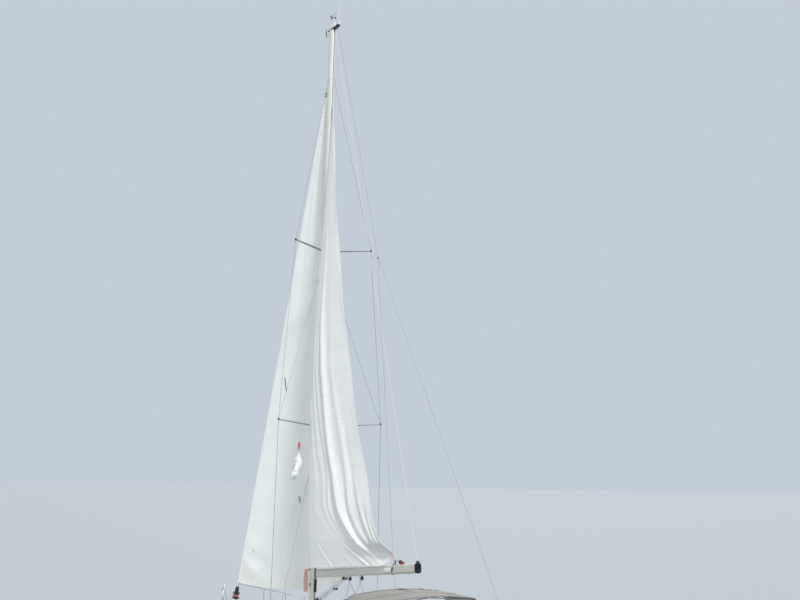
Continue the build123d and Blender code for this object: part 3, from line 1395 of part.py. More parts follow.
def export_all():
    os.makedirs("parts", exist_ok=True)
    hull_form = make_hull_form()
    deck_cutter = make_deck_cutter()
    trunk_form = make_trunk_form()
    trunk_space = make_trunk_space(TRUNK_BASE_Z - 400)
    cabin_space = make_cabin_space()
    cockpit_form = make_cockpit_form()
    aft = STERN_X + PLATFORM_THICK + PLATFORM_GAP
    recess = block(STERN_X - 100, aft, -PLATFORM_HALF - PLATFORM_GAP, PLATFORM_HALF + PLATFORM_GAP,
                   PLATFORM_LOW_Z, SHEER_STERN_Z + 500)
    anchor_well = hatch_way("anchor_locker_lid", ANCHOR_LOCKER_Z)

    hull = hull_form - deck_cutter - cabin_space - trunk_space - cockpit_form - recess - anchor_well
    hull -= rudder_tube()
    deck = hull_form & deck_cutter
    for rail in make_toe_rail():
        deck += rail - bow_bed()
    deck = deck - trunk_space - cockpit_form - recess - cabin_space - doorway_way()
    deck += hatch_frame("anchor_locker_lid") - hull_form
    deck = largest(deck - anchor_well)
    coachroof, windows = make_coachroof(hull_form, trunk_form, trunk_space, cockpit_form)
    cockpit = make_cockpit(cockpit_form)
    mast = make_mast()
    spreaders = make_spreaders(make_mast_sleeve())
    chainplates = make_chainplates(deck)
    stemhead = make_stemhead(deck)
    masthead = make_masthead()
    boom = make_boom()
    mainsail = make_mainsail()

    nodes = {
        "hull": hull,
        "deck": deck,
        "coachroof": coachroof,
        "cabin_windows": windows,
        "cockpit": cockpit,
        "keel": make_keel(hull_form),
        "saildrive": make_saildrive(hull_form),
        "propeller": make_propeller(),
        "rudder": make_rudder(),
        "helm_pedestals": make_pedestals(),
        "helm_wheel_port": make_helm(1),
        "helm_wheel_starboard": make_helm(-1),
        "locker_lid_port": make_locker_lid(1),
        "locker_lid_starboard": make_locker_lid(-1),
        "companionway_slide": make_slide(),
        "saloon_hatch": make_hatch_lid("saloon_hatch"),
        "fore_hatch": make_hatch_lid("fore_hatch"),
        "anchor_locker_lid": make_hatch_lid("anchor_locker_lid"),
        "hatch_hinges": make_hatch_hinges(),
        "mast": mast,
        "masthead_crane": masthead,
        "spreaders": spreaders,
        "chainplates": chainplates,
        "shrouds": make_shrouds(mast, spreaders, chainplates),
        "stemhead": stemhead,
        "anchor": make_anchor(),
        "forestay": make_forestay(mast, stemhead),
        "headsail_furler": make_furler(),
        "backstay": make_backstay(masthead, chainplates),
        "boom": boom,
        "outhaul": make_outhaul(boom, mainsail),
        "gooseneck": make_gooseneck(mast),
        "vang": make_vang(boom),
        "vang_bracket": make_vang_bracket(mast),
        "mainsail": mainsail,
        "genoa": make_genoa(),
        "stanchions": make_stanchions(deck),
        "pulpit": make_pulpit(deck),
        "pushpit": make_pushpit(deck, cockpit),
        "winches": make_winches(coachroof, cockpit),
        "mooring_cleats": make_cleats(deck),
        "genoa_tracks": make_genoa_tracks(deck),
        "grab_rails": make_grab_rails(coachroof),
        "bimini": make_bimini(),
        "bimini_frame": make_bimini_frame(cockpit),
        "sprayhood": make_sprayhood(trunk_form),
        "bathing_platform": make_platform(),
        "engine": make_engine(),
        "companionway_steps": make_companionway_steps(),
        "antenna": make_antenna(),
        "instrument_arm": make_instrument_arms(masthead),
        "wind_vane": make_wind_vane(),
        "wind_cups": make_wind_cups(),
    }
    for node, shape in nodes.items():
        export(shape, node)


export_all()
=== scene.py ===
import math

import bmesh
import bpy
from mathutils import Matrix, Vector


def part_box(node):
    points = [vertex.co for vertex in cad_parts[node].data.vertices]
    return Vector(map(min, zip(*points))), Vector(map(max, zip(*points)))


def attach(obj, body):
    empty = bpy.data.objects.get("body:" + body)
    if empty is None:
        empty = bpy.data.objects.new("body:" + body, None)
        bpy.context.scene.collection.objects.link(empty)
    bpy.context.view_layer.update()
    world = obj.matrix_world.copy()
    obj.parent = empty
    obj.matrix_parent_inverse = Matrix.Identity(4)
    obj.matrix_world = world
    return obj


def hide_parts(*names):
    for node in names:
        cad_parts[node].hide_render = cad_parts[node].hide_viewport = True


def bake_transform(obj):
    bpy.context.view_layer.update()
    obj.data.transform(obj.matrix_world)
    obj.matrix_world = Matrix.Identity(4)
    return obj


# Sailing yacht under sail. Metres: +X to the bow, +Y to port, +Z up, the waterline at z = 0.
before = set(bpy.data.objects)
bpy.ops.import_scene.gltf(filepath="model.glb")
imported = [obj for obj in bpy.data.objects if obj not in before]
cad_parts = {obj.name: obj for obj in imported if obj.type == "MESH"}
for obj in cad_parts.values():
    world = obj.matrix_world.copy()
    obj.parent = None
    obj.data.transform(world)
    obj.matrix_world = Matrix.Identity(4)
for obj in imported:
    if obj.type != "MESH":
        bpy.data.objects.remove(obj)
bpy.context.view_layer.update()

# Rig, from the frame's driving sizes
MAST_X = 1.050
GOOSENECK_Z = 3.050
RAKE = math.radians(1.0)
SWING_AFT = 0.162           # swing axis of the boom, aft of the mast's axis
HOUNDS = 13.93
SPREADERS = ((3.780, 1.512), (8.550, 1.158))    # height, half span
SPREADER_SWEEP = math.radians(25)
BOOM_SIDE = math.radians(1.66)
BOOM_RISE = math.radians(5.7)
BOOM_LENGTH = 5.2
STAY_FOOT = Vector((6.0, 0, 1.790))
FOIL = 0.020                # radius of the furling extrusion on the forestay
# Deck's edge: x, half beam
BEAM_ROWS = ((-6.5, 1.640), (-5.5, 1.820), (-4.3, 1.970), (-1.8, 2.100), (0.6, 2.070), (2.8, 1.730),
             (4.7, 1.050), (5.75, 0.520), (6.5, 0.035))
SHEER = (1.340, 0.03231, 0.003077)      # its height amidships, slope and curve
DECK_CROWN, HALF_BEAM = 0.085, 2.1      # camber where the deck is widest
# Cabin trunk: x, half width of its top, height of the shoulder, crown
TRUNK = ((-2.300, 1.080, 1.730, 0.080), (-0.300, 1.070, 1.750, 0.080), (1.500, 0.980, 1.740, 0.075),
         (3.000, 0.740, 1.680, 0.055), (4.100, 0.460, 1.600, 0.035))
STANCHION_X = (-3.4, -1.9, -0.3, 1.3, 2.7, 3.9)
RAIL_HIGH, RAIL_INSET = 0.610, 0.095
PULPIT_AFT_X, PUSHPIT_FORE_X = 4.6, -4.7
UP = Vector((0, 0, 1))
PORT = Vector((0, 1, 0))
FORE = Vector((1, 0, 0))


def mast_point(height, aft=0.0, side=0.0):
    """Point at a height above the gooseneck along the mast, aft of its axis."""
    return Vector((MAST_X - math.sin(RAKE) * height - math.cos(RAKE) * aft, side,
                   GOOSENECK_Z + math.cos(RAKE) * height - math.sin(RAKE) * aft))


def boom_point(reach, up=0.0, side=0.0):
    """Point at a reach from the mast's axis along the boom."""
    run = reach - SWING_AFT
    along = Vector((-math.cos(BOOM_SIDE) * math.cos(BOOM_RISE), math.sin(BOOM_SIDE) * math.cos(BOOM_RISE),
                    math.sin(BOOM_RISE)))
    across = Vector((math.sin(BOOM_SIDE), math.cos(BOOM_SIDE), 0))
    return mast_point(0, SWING_AFT) + along * run + across * side + UP * up


def stay_point(z):
    """Point of the forestay's axis at a height."""
    head = mast_point(HOUNDS)
    return STAY_FOOT.lerp(head, (z - STAY_FOOT.z) / (head.z - STAY_FOOT.z))


def spreader_tip(row, side):
    height, half = SPREADERS[row]
    return mast_point(height) + Vector((-half * math.tan(SPREADER_SWEEP), side * half, 0.06 * half))


def straight_value(knots, t):
    """Straight runs between (t, value) knots."""
    for (t0, v0), (t1, v1) in zip(knots, knots[1:]):
        if t <= t1:
            return v0 + (v1 - v0) * (t - t0) / (t1 - t0)
    return knots[-1][1]


def column(rows, index):
    """Knots of a table: its first column with another one."""
    return [(row[0], row[index]) for row in rows]


def deck_z(x, y):
    """Height of the cambered deck."""
    half = straight_value(BEAM_ROWS, x)
    sheer = SHEER[0] + SHEER[1] * x + SHEER[2] * x**2
    return sheer + DECK_CROWN * half / HALF_BEAM * (1 - (y / half)**2)


def rail_point(x, side, high, inset=RAIL_INSET):
    y = straight_value(BEAM_ROWS, x) - inset
    return Vector((x, side * y, deck_z(x, y) + high))


def roof_z(x, y):
    """Height of the cabin's roof."""
    half, shoulder, crown = (straight_value(column(TRUNK, k), x) for k in (1, 2, 3))
    return shoulder + crown * (1 - (y / half)**2)


def curve_value(knots, t):
    """Smooth curve through (t, value) knots."""
    if t <= knots[0][0]:
        return knots[0][1]
    for index, ((t0, v0), (t1, v1)) in enumerate(zip(knots, knots[1:])):
        if t <= t1:
            before, after = knots[max(index - 1, 0)], knots[min(index + 2, len(knots) - 1)]
            m0 = (v1 - before[1]) / max(t1 - before[0], 1e-9)
            m1 = (after[1] - v0) / max(after[0] - t0, 1e-9)
            span = t1 - t0
            u = (t - t0) / span
            return ((2 * u**3 - 3 * u**2 + 1) * v0 + (u**3 - 2 * u**2 + u) * span * m0
                    + (3 * u**2 - 2 * u**3) * v1 + (u**3 - u**2) * span * m1)
    return knots[-1][1]


def smooth(low, high, t):
    """0 below low, 1 above high, eased between them."""
    u = min(max((t - low) / (high - low), 0.0), 1.0)
    return u * u * (3 - 2 * u)


def add_object(name, data):
    obj = bpy.data.objects.new(name, data)
    bpy.context.scene.collection.objects.link(obj)
    return obj


# ---- Camera, fitted to the photograph's horizon and rig ----
PHOTO_FOCAL = 1000 / 800            # focal length over the picture's width
CLIP_END = 9000
EYE = Vector((-22.802, 12.597, 5.140))
YAW, PITCH, ROLL = math.radians(-32.318), math.radians(10.921), math.radians(1.272)
HEEL = math.radians(0.59)           # the boat leans to port there, and stands upright here


def make_camera():
    forward = Vector((math.cos(YAW) * math.cos(PITCH), math.sin(YAW) * math.cos(PITCH), math.sin(PITCH)))
    level = Vector((math.sin(YAW), -math.cos(YAW), 0))
    up = level.cross(forward)
    right = level * math.cos(ROLL) + up * math.sin(ROLL)
    up = up * math.cos(ROLL) - level * math.sin(ROLL)
    basis = Matrix((right, up, -forward)).transposed().to_4x4()
    pivot = Matrix.Translation(mast_point(0))
    data = bpy.data.cameras.new("camera")
    data.sensor_width = 36
    data.lens = PHOTO_FOCAL * data.sensor_width
    data.clip_end = CLIP_END
    camera = add_object("camera", data)
    camera.matrix_world = (pivot @ Matrix.Rotation(HEEL, 4, "X") @ pivot.inverted()
                           @ Matrix.Translation(EYE) @ basis)
    bpy.context.scene.camera = camera


make_camera()


# ---- Materials ----
COAT_ROUGH = 0.12
NAVY, BOTTOM_BLUE, GEL_WHITE, TEAK, SEAM = "27364f", "26334a", "e9eae6", "a08055", "191919"
BLACK = "1b1c1e"


def srgb(code):
    """Linear colour of a six-digit sRGB code."""
    parts = [int(code[i:i + 2], 16) / 255 for i in (0, 2, 4)]
    return [c / 12.92 if c <= 0.04045 else ((c + 0.055) / 1.055)**2.4 for c in parts] + [1.0]


class Finish:
    """One procedural material, built up from layers of pattern."""

    def __init__(self, name, code, rough=0.5, metal=0.0, coat=0.0, sheen=0.0):
        self.material = bpy.data.materials.new(name)
        self.material.use_nodes = True
        self.tree = self.material.node_tree
        self.shader = self.tree.nodes["Principled BSDF"]
        for key, value in (("Roughness", rough), ("Metallic", metal), ("Coat Weight", coat),
                           ("Coat Roughness", COAT_ROUGH), ("Sheen Weight", sheen)):
            self.shader.inputs[key].default_value = value
        self.colour = self.out("ShaderNodeRGB")
        self.colour.default_value = srgb(code)
        self.height = None
        self.link(self.colour, self.shader.inputs["Base Color"])
        self.place = self.out("ShaderNodeTexCoord", output="Object")

    def out(self, kind, values=None, output=0, **settings):
        """Output of a new node; values go to its inputs, as plain values or as links."""
        node = self.tree.nodes.new(kind)
        for key, value in settings.items():
            setattr(node, key, value)
        for key, value in (values or {}).items():
            if isinstance(value, bpy.types.NodeSocket):
                self.link(value, node.inputs[key])
            elif value is not None:
                node.inputs[key].default_value = value
        return node.outputs[output]

    def link(self, output, socket):
        self.tree.links.new(output, socket)

    def math(self, operation, a, b=None):
        return self.out("ShaderNodeMath", {0: a, 1: b}, operation=operation)

    def times(self, a, b):
        return self.math("MULTIPLY", a, b)

    def axis(self, name, source=None):
        return self.out("ShaderNodeSeparateXYZ", {0: source or self.place}, name)

    def noise(self, scale, detail=4.0, stretch=(1, 1, 1)):
        place = self.out("ShaderNodeVectorMath", {0: self.place, 1: stretch}, operation="MULTIPLY")
        return self.out("ShaderNodeTexNoise", {"Vector": place, "Scale": scale, "Detail": detail}, "Fac")

    def cells(self, scale):
        """Distance from the middle of the nearest of many cells."""
        return self.out("ShaderNodeTexVoronoi", {"Vector": self.place, "Scale": scale}, "Distance")

    def along(self, direction):
        """How far a place lies in a direction."""
        return self.out("ShaderNodeVectorMath", {0: self.place, 1: direction}, "Value", operation="DOT_PRODUCT")

    def step(self, coordinate, low, high):
        """0 below low, 1 above high."""
        values = {0: coordinate, 1: low, 2: high}
        return self.out("ShaderNodeMapRange", values, interpolation_type="SMOOTHSTEP")

    def below(self, coordinate, low, high):
        """1 below low, 0 above high."""
        return self.math("SUBTRACT", 1.0, self.step(coordinate, low, high))

    def band(self, coordinate, low, high, soft):
        """1 between low and high, faded over soft inside both."""
        return self.times(self.step(coordinate, low, low + soft), self.below(coordinate, high - soft, high))

    def lines(self, coordinate, spacing, width, soft=0.3):
        """1 on thin lines that repeat along a coordinate, 0 between them."""
        wrapped = self.math("FRACT", self.math("DIVIDE", coordinate, spacing))
        far = self.math("ABSOLUTE", self.math("SUBTRACT", wrapped, 0.5))
        half = width / spacing / 2
        return self.step(far, 0.5 - half * (1 + soft), 0.5 - half * (1 - soft))

    def mix(self, factor, code, amount=1.0):
        """Lays another colour over the last one where factor is 1."""
        values = {0: self.times(factor, amount), 6: self.colour, 7: srgb(code)}
        self.colour = self.out("ShaderNodeMix", values, 2, data_type="RGBA")
        self.link(self.colour, self.shader.inputs["Base Color"])
        return self

    def bump(self, height, distance, strength=1.0):
        values = {"Distance": distance, "Strength": strength, "Height": height, "Normal": self.height}
        self.height = self.out("ShaderNodeBump", values)
        self.link(self.height, self.shader.inputs["Normal"])
        return self

    def roughen(self, factor, low, high):
        self.link(self.out("ShaderNodeMapRange", {0: factor, 3: low, 4: high}), self.shader.inputs["Roughness"])
        return self

    def facing_up(self, low=0.85, high=0.95):
        """1 on surfaces that face up."""
        return self.step(self.axis("Z", self.out("ShaderNodeNewGeometry", output="Normal")), low, high)

    def cloth(self):
        """Coordinates across and up a cloth, in metres for the sails."""
        return self.out("ShaderNodeUVMap", uv_map="cloth")


def gelcoat(name, code):
    finish = Finish(name, code, rough=0.28, coat=0.5)
    return finish.mix(finish.noise(1.3, 3), "c9ccc8", 0.10).bump(finish.noise(30, 2), 0.0004, 0.25)


def hull_finish():
    """Gelcoat topsides, a boot stripe over the waterline and a cove line under the sheer."""
    finish = gelcoat("hull_gelcoat", "eceeec")
    z = finish.axis("Z")
    sheer = finish.math("SUBTRACT", z, finish.times(finish.axis("X"), 0.032))
    finish.mix(finish.band(sheer, 1.120, 1.150, 0.004), NAVY)
    finish.mix(finish.band(z, 0.070, 0.153, 0.003), NAVY)
    finish.mix(finish.below(z, 0.018, 0.022), BOTTOM_BLUE)
    stain = finish.times(finish.below(z, 0.02, 0.45), finish.noise(5, 5, (1, 1, 0.25)))
    return finish.mix(stain, "a9a48e", 0.35).roughen(finish.noise(2.5, 4), 0.22, 0.36)


def deck_finish(name):
    """Gelcoat with a non-skid pattern moulded where one walks."""
    finish = gelcoat(name, GEL_WHITE)
    walk = finish.facing_up()
    finish.mix(walk, "d5d6cf", 0.65)
    finish.bump(finish.times(finish.cells(150), walk), 0.0012, 0.6)
    finish.mix(finish.noise(3, 6), "b3aea0", 0.12)
    return finish.roughen(walk, 0.26, 0.6)


def plank_layer(finish, mask, spacing=0.052):
    """Teak planks with black caulking, laid along X where mask is 1."""
    y = finish.axis("Y")
    board = finish.math("FLOOR", finish.math("DIVIDE", y, spacing))
    tone = finish.out("ShaderNodeTexWhiteNoise", {"W": board}, "Value", noise_dimensions="1D")
    finish.mix(mask, TEAK)
    finish.mix(finish.times(mask, tone), "8a6b45", 0.45)
    grain = finish.noise(9, 8, (0.6, 14, 14))
    finish.mix(finish.times(mask, grain), "c4a678", 0.5)
    seam = finish.times(finish.lines(y, spacing, 0.005), mask)
    finish.mix(seam, SEAM)
    return finish.bump(finish.math("SUBTRACT", finish.times(grain, 0.3), seam), 0.0010, 0.5)


def cockpit_finish():
    """Gelcoat moulding with teak on its sole and seats."""
    finish = gelcoat("cockpit_gelcoat", GEL_WHITE)
    mask = finish.times(finish.facing_up(0.97, 0.99), finish.below(finish.axis("Z"), 1.30, 1.32))
    return plank_layer(finish, mask).roughen(mask, 0.28, 0.62)


def teak(name):
    return plank_layer(Finish(name, TEAK, rough=0.6), 1.0)


def metal(name, code, rough, grain=0.06, stretch=(60, 60, 2)):
    finish = Finish(name, code, rough=rough, metal=1.0)
    brushed = finish.noise(6, 6, stretch)
    finish.mix(brushed, "6f7375", grain)
    finish.roughen(brushed, rough * 0.75, rough * 1.35)
    return finish.bump(brushed, 0.0002, 0.25)


def anodised(name, code, rough=0.38):
    """Dull anodised extrusion, die lines along it."""
    finish = Finish(name, code, rough=rough, metal=0.55)
    streaks = finish.noise(5, 5, (0.4, 22, 22))
    finish.mix(streaks, "84888a", 0.22).mix(finish.noise(2, 5), "e4e5e3", 0.18)
    return finish.roughen(streaks, rough * 0.8, rough * 1.3).bump(streaks, 0.0002, 0.3)


def mast_finish():
    """Pale painted section, a joint every few metres and grey streaks of weather."""
    finish = Finish("mast_paint", "dbd9d0", rough=0.34, metal=0.15, coat=0.2)
    streaks = finish.noise(4, 6, (9, 9, 0.35))
    finish.mix(streaks, "9d9d98", 0.32).mix(finish.noise(1.1, 3), "f0eee6", 0.4)
    joint = finish.lines(finish.axis("Z"), 6.2, 0.010)
    finish.mix(joint, "6d6e6c", 0.8)
    return finish.roughen(streaks, 0.28, 0.5).bump(streaks, 0.0003, 0.3)


def boom_finish():
    """Grey anodised boom with a black casting at each end."""
    finish = anodised("boom_anodised", "e0dcd2")
    along = (boom_point(BOOM_LENGTH) - boom_point(0.5)).normalized()
    reach = finish.along(along)
    aft, fore = (boom_point(end).dot(along) for end in (BOOM_LENGTH - 0.060, 0.290))
    finish.mix(finish.step(reach, aft - 0.001, aft + 0.001), BLACK)
    return finish.mix(finish.step(reach, fore + 0.001, fore - 0.001), BLACK)


def plastic(name, code, rough=0.5):
    finish = Finish(name, code, rough=rough)
    return finish.mix(finish.noise(12, 5), "8b8d8f", 0.12).bump(finish.noise(260, 3), 0.0003, 0.3)


def glazing(name, code="1d2328"):
    finish = Finish(name, code, rough=0.08, coat=0.6)
    return finish.mix(finish.noise(2.2, 2), "3a444c", 0.35).roughen(finish.noise(6, 4), 0.05, 0.14)


def sailcloth(name, panel, code="e9ebea"):
    """Woven sail with sewn panels: panel is the spacing of its seams up the sail."""
    finish = Finish(name, code, rough=0.62, sheen=0.25)
    along, up = (finish.axis(name, finish.cloth()) for name in "XY")
    finish.mix(finish.noise(0.9, 4), "cfd8d6", 0.35)
    finish.mix(finish.noise(3.2, 6, (1, 1, 0.5)), "f6f5f1", 0.4)
    seam = finish.lines(up, panel, 0.024, 0.15)
    stitch = finish.times(finish.lines(up, panel, 0.030, 0.1), finish.lines(along, 0.012, 0.006))
    finish.mix(seam, "c3cbcb", 0.40).mix(stitch, "f2f2ee", 0.5)
    weave = finish.math("ADD", finish.noise(900, 2, (1, 1, 0.15)), finish.noise(900, 2, (0.15, 0.15, 1)))
    finish.bump(finish.noise(5, 5, (1, 1, 0.5)), 0.012, 0.35).bump(seam, 0.0012, 0.8)
    return finish.bump(weave, 0.0006, 0.4)


def canvas(name, code):
    """Acrylic canvas with a plain weave and sun-faded patches."""
    finish = Finish(name, code, rough=0.85, sheen=0.3)
    finish.mix(finish.noise(1.6, 5), "a9a69f", 0.35).mix(finish.noise(7, 6), "6f6c66", 0.18)
    across = finish.lines(finish.axis("X"), 0.0024, 0.0011, 0.6)
    along = finish.lines(finish.axis("Y"), 0.0024, 0.0011, 0.6)
    finish.bump(finish.noise(9, 4), 0.006, 0.3)
    return finish.bump(finish.math("ADD", across, along), 0.0005, 0.5)


def flag_finish():
    """White bunting with a red canton at its head, and blotches of painted blue-grey shade over it."""
    finish = Finish("flag_bunting", "eceded", rough=0.8, sheen=0.2)
    finish.mix(finish.step(finish.axis("Y", finish.cloth()), 0.755, 0.765), "c8404c")
    # Painted shade: blue-grey blotches stand in for the shade in the limp flag's folds.
    finish.mix(finish.step(finish.noise(7, 4), 0.50, 0.60), "8f9aa6", 0.55)
    return finish.mix(finish.noise(5, 4), "cfd3d8", 0.25).bump(finish.noise(700, 2), 0.0004, 0.4)


def rope(name, code, fleck):
    """Braid with a coloured fleck."""
    finish = Finish(name, code, rough=0.8, sheen=0.2)
    finish.mix(finish.step(finish.noise(90, 2), 0.58, 0.64), fleck, 0.8)
    return finish.bump(finish.cells(180), 0.0012, 0.7)


def antifouling():
    """Worn bottom paint."""
    finish = Finish("antifouling", BOTTOM_BLUE, rough=0.8)
    return finish.mix(finish.noise(3, 6), "3d4a60", 0.4).bump(finish.noise(60, 5), 0.0008, 0.4)


FINISHES = {
    "hull": hull_finish(),
    "deck": deck_finish("deck_gelcoat"),
    "roof": deck_finish("roof_gelcoat"),
    "cockpit": cockpit_finish(),
    "white": gelcoat("white_gelcoat", GEL_WHITE),
    "teak": teak("teak"),
    "antifouling": antifouling(),
    "stainless": metal("stainless", "c6c9cb", 0.22),
    "wire": anodised("stay_wire", "878c92", 0.5),
    "guard": anodised("guard_wire", "c9ced3", 0.5),
    "foil": plastic("foil_paint", "e9ebe9", 0.5),
    "vang": plastic("vang_paint", "dcddd8", 0.45),
    "galvanised": metal("galvanised_steel", "8f9392", 0.55, 0.3, (9, 9, 9)),
    "bronze": metal("bronze", "a5834c", 0.35),
    "boom": boom_finish(),
    "spreader": anodised("spreader_anodised", "8d9096", 0.42),
    "fitting": anodised("fitting_anodised", "a6a9ab", 0.35),
    "mast": mast_finish(),
    "black": plastic("black_nylon", BLACK, 0.45),
    "grey": plastic("grey_rubber", "5a5d60", 0.7),
    "white_plastic": plastic("white_plastic", "ecece8", 0.4),
    "red": plastic("red_plastic", "a3262a", 0.4),
    "green": plastic("green_plastic", "1f7a4a", 0.4),
    "glass": glazing("smoked_acrylic"),
    "engine": plastic("engine_enamel", "3c5a48", 0.45),
    "main": sailcloth("mainsail_dacron", 0.62, "e6e8e7"),
    "genoa": sailcloth("genoa_dacron", 1.05, "dfe3e2"),
    "patch": sailcloth("clew_patch", 5.0, "d9dad6"),
    "canvas": canvas("taupe_canvas", "8c8983"),
    "binding": canvas("dark_binding", "5d5a55"),
    "white_rope": rope("white_braid", "dcdcd6", "7d8fa8"),
    "blue_rope": rope("blue_braid", "4c6288", "d5d8dc"),
    "pink_rope": rope("faded_red_braid", "ead9d4", "cf9a92"),
    "flag": flag_finish(),
    "faded": sailcloth("faded_patch", 5.0, "d3bdb5"),
    "vinyl": glazing("clear_vinyl", "565b5c"),
    "coil": rope("coiled_halyard", "f2cdbf", "d8988a"),
    "furling": rope("furling_line", "a93a3c", "e6dcd6"),
}

NODE_FINISH = {
    "hull": ("hull",), "deck": ("deck", "anchor_locker_lid"), "roof": ("coachroof",),
    "cockpit": ("cockpit", "bathing_platform"),
    "glass": ("cabin_windows", "companionway_slide", "saloon_hatch", "fore_hatch"),
    "teak": ("locker_lid_port", "locker_lid_starboard", "companionway_steps"),
    "white": ("helm_pedestals",), "engine": ("engine",), "antifouling": ("keel", "rudder", "saildrive"),
    "bronze": ("propeller",), "mast": ("mast",), "boom": ("boom",), "spreader": ("spreaders",),
    "fitting": ("instrument_arm", "mooring_cleats"), "foil": ("forestay",), "white_plastic": ("antenna",),
    "vang": ("vang",), "wire": ("shrouds", "backstay"), "galvanised": ("anchor",),
    "black": ("masthead_crane", "headsail_furler", "wind_vane", "wind_cups", "outhaul", "gooseneck",
              "vang_bracket", "genoa_tracks"),
}


def finish_nodes():
    """Gives every CAD node its finish; what isn't named is stainless steel."""
    named = {node: finish for finish, nodes in NODE_FINISH.items() for node in nodes}
    for node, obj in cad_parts.items():
        obj.data.materials.clear()
        obj.data.materials.append(FINISHES[named.get(node, "stainless")].material)


# ---- Meshes ----
SHARP = math.radians(40)


def oval(centre, first, second, sides):
    """Points around a centre, on the oval that two half axes span."""
    return [centre + first * math.cos(a) + second * math.sin(a)
            for a in (math.tau * k / sides for k in range(sides))]


class Piece:
    """Gathers tubes, blocks and sheets into one mesh that rides on a body."""

    def __init__(self):
        self.verts, self.faces, self.slots, self.uvs = [], [], [], {}
        self.slot = 0

    def add(self, verts, faces):
        base = len(self.verts)
        self.verts.extend(Vector(v) for v in verts)
        self.faces.extend(tuple(base + i for i in face) for face in faces)
        self.slots.extend([self.slot] * len(faces))

    def skin(self, rings, closed=False):
        """Skin over rings of points, capped at both ends unless it closes on itself."""
        count, sides = len(rings), len(rings[0])
        faces = []
        for r in range(count if closed else count - 1):
            a, b = r * sides, (r + 1) % count * sides
            faces += [(a + k, a + (k + 1) % sides, b + (k + 1) % sides, b + k) for k in range(sides)]
        if not closed:
            faces += [tuple(reversed(range(sides))), tuple((count - 1) * sides + k for k in range(sides))]
        self.add([point for ring in rings for point in ring], faces)
        return self

    def tube(self, points, radius, sides=8, closed=False):
        """Round bar along points, its rings turned to bisect each corner."""
        points = [Vector(p) for p in points]
        rings = []
        normal = None
        for index, point in enumerate(points):
            before = points[index - 1] if index or closed else point
            after = points[(index + 1) % len(points)] if index < len(points) - 1 or closed else point
            along = (after - before).normalized()
            if normal is None:
                normal = along.orthogonal().normalized()
            normal = (normal - along * normal.dot(along)).normalized()
            rings.append(oval(point, normal * radius, along.cross(normal) * radius, sides))
        return self.skin(rings, closed)

    def turned(self, origin, axis, profile, sides=24):
        """Solid of revolution: profile is (along, radius) from the origin along the axis."""
        origin, axis = Vector(origin), Vector(axis).normalized()
        side = axis.orthogonal().normalized()
        across = axis.cross(side)
        rows = [(origin + axis * along, max(radius, 1e-5)) for along, radius in profile]
        return self.skin([oval(centre, side * radius, across * radius, sides) for centre, radius in rows])

    def block(self, centre, size, basis=None, bevel=0.15):
        """Block with bevelled corners, its axes given by basis."""
        mesh = bmesh.new()
        bmesh.ops.create_cube(mesh, size=1.0)
        for vert in mesh.verts:
            vert.co = Vector(vert.co[i] * size[i] for i in range(3))
        bmesh.ops.bevel(mesh, geom=mesh.edges[:], offset=bevel * min(size), segments=2, affect="EDGES",
                        profile=0.7)
        turn = basis if basis is not None else Matrix.Identity(3)
        verts = [Vector(centre) + turn @ v.co for v in mesh.verts]
        index = {v: i for i, v in enumerate(mesh.verts)}
        self.add(verts, [tuple(index[v] for v in face.verts) for face in mesh.faces])
        mesh.free()
        return self

    def sheet(self, point, columns, rows, uv=None, slot=None):
        """Grid of point(s, t) for s and t from 0 to 1; slot(s, t) picks a face's material."""
        base = len(self.verts)
        for r in range(rows + 1):
            for c in range(columns + 1):
                self.verts.append(Vector(point(c / columns, r / rows)))
                if uv:
                    self.uvs[len(self.verts) - 1] = uv(c / columns, r / rows)
        for r in range(rows):
            for c in range(columns):
                a = base + r * (columns + 1) + c
                self.faces.append((a, a + 1, a + columns + 2, a + columns + 1))
                self.slots.append(slot((c + 0.5) / columns, (r + 0.5) / rows) if slot else self.slot)
        return self

    def finish(self, name, finishes, body=None):
        """Makes the object; finishes names one finish per slot."""
        names = [finishes] if isinstance(finishes, str) else finishes
        data = bpy.data.meshes.new(name)
        data.from_pydata([tuple(v) for v in self.verts], [], self.faces)
        for finish in names:
            data.materials.append(FINISHES[finish].material)
        for polygon, slot in zip(data.polygons, self.slots):
            polygon.material_index = slot
            polygon.use_smooth = True
        if self.uvs:
            layer = data.uv_layers.new(name="cloth")
            for loop in data.loops:
                layer.data[loop.index].uv = self.uvs.get(loop.vertex_index, (0, 0))
        data.update()
        data.validate()
        obj = add_object(name, data)
        if not self.uvs:
            data.set_sharp_from_angle(angle=SHARP)
        if body:
            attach(obj, body)
        return obj


# ---- Sails ----
# Mainsail: height of the luff, chord, angle from the centreline to port, depth of the belly
MAIN_ROWS = (
    (0.150, 4.060, 1.7, 0.12), (0.900, 3.740, 5.0, 0.135), (2.300, 3.220, 8.0, 0.15),
    (4.600, 2.460, 11.0, 0.175), (7.300, 1.640, 14.0, 0.19), (10.000, 0.830, 17.0, 0.16),
    (12.750, 0.160, 19.0, 0.08),
)
MAIN_LOW, MAIN_HIGH = MAIN_ROWS[0][0], MAIN_ROWS[-1][0]
CAMBER = ((0, 0), (0.05, 0.55), (0.18, 1.0), (0.6, 0.7), (1.0, 0))
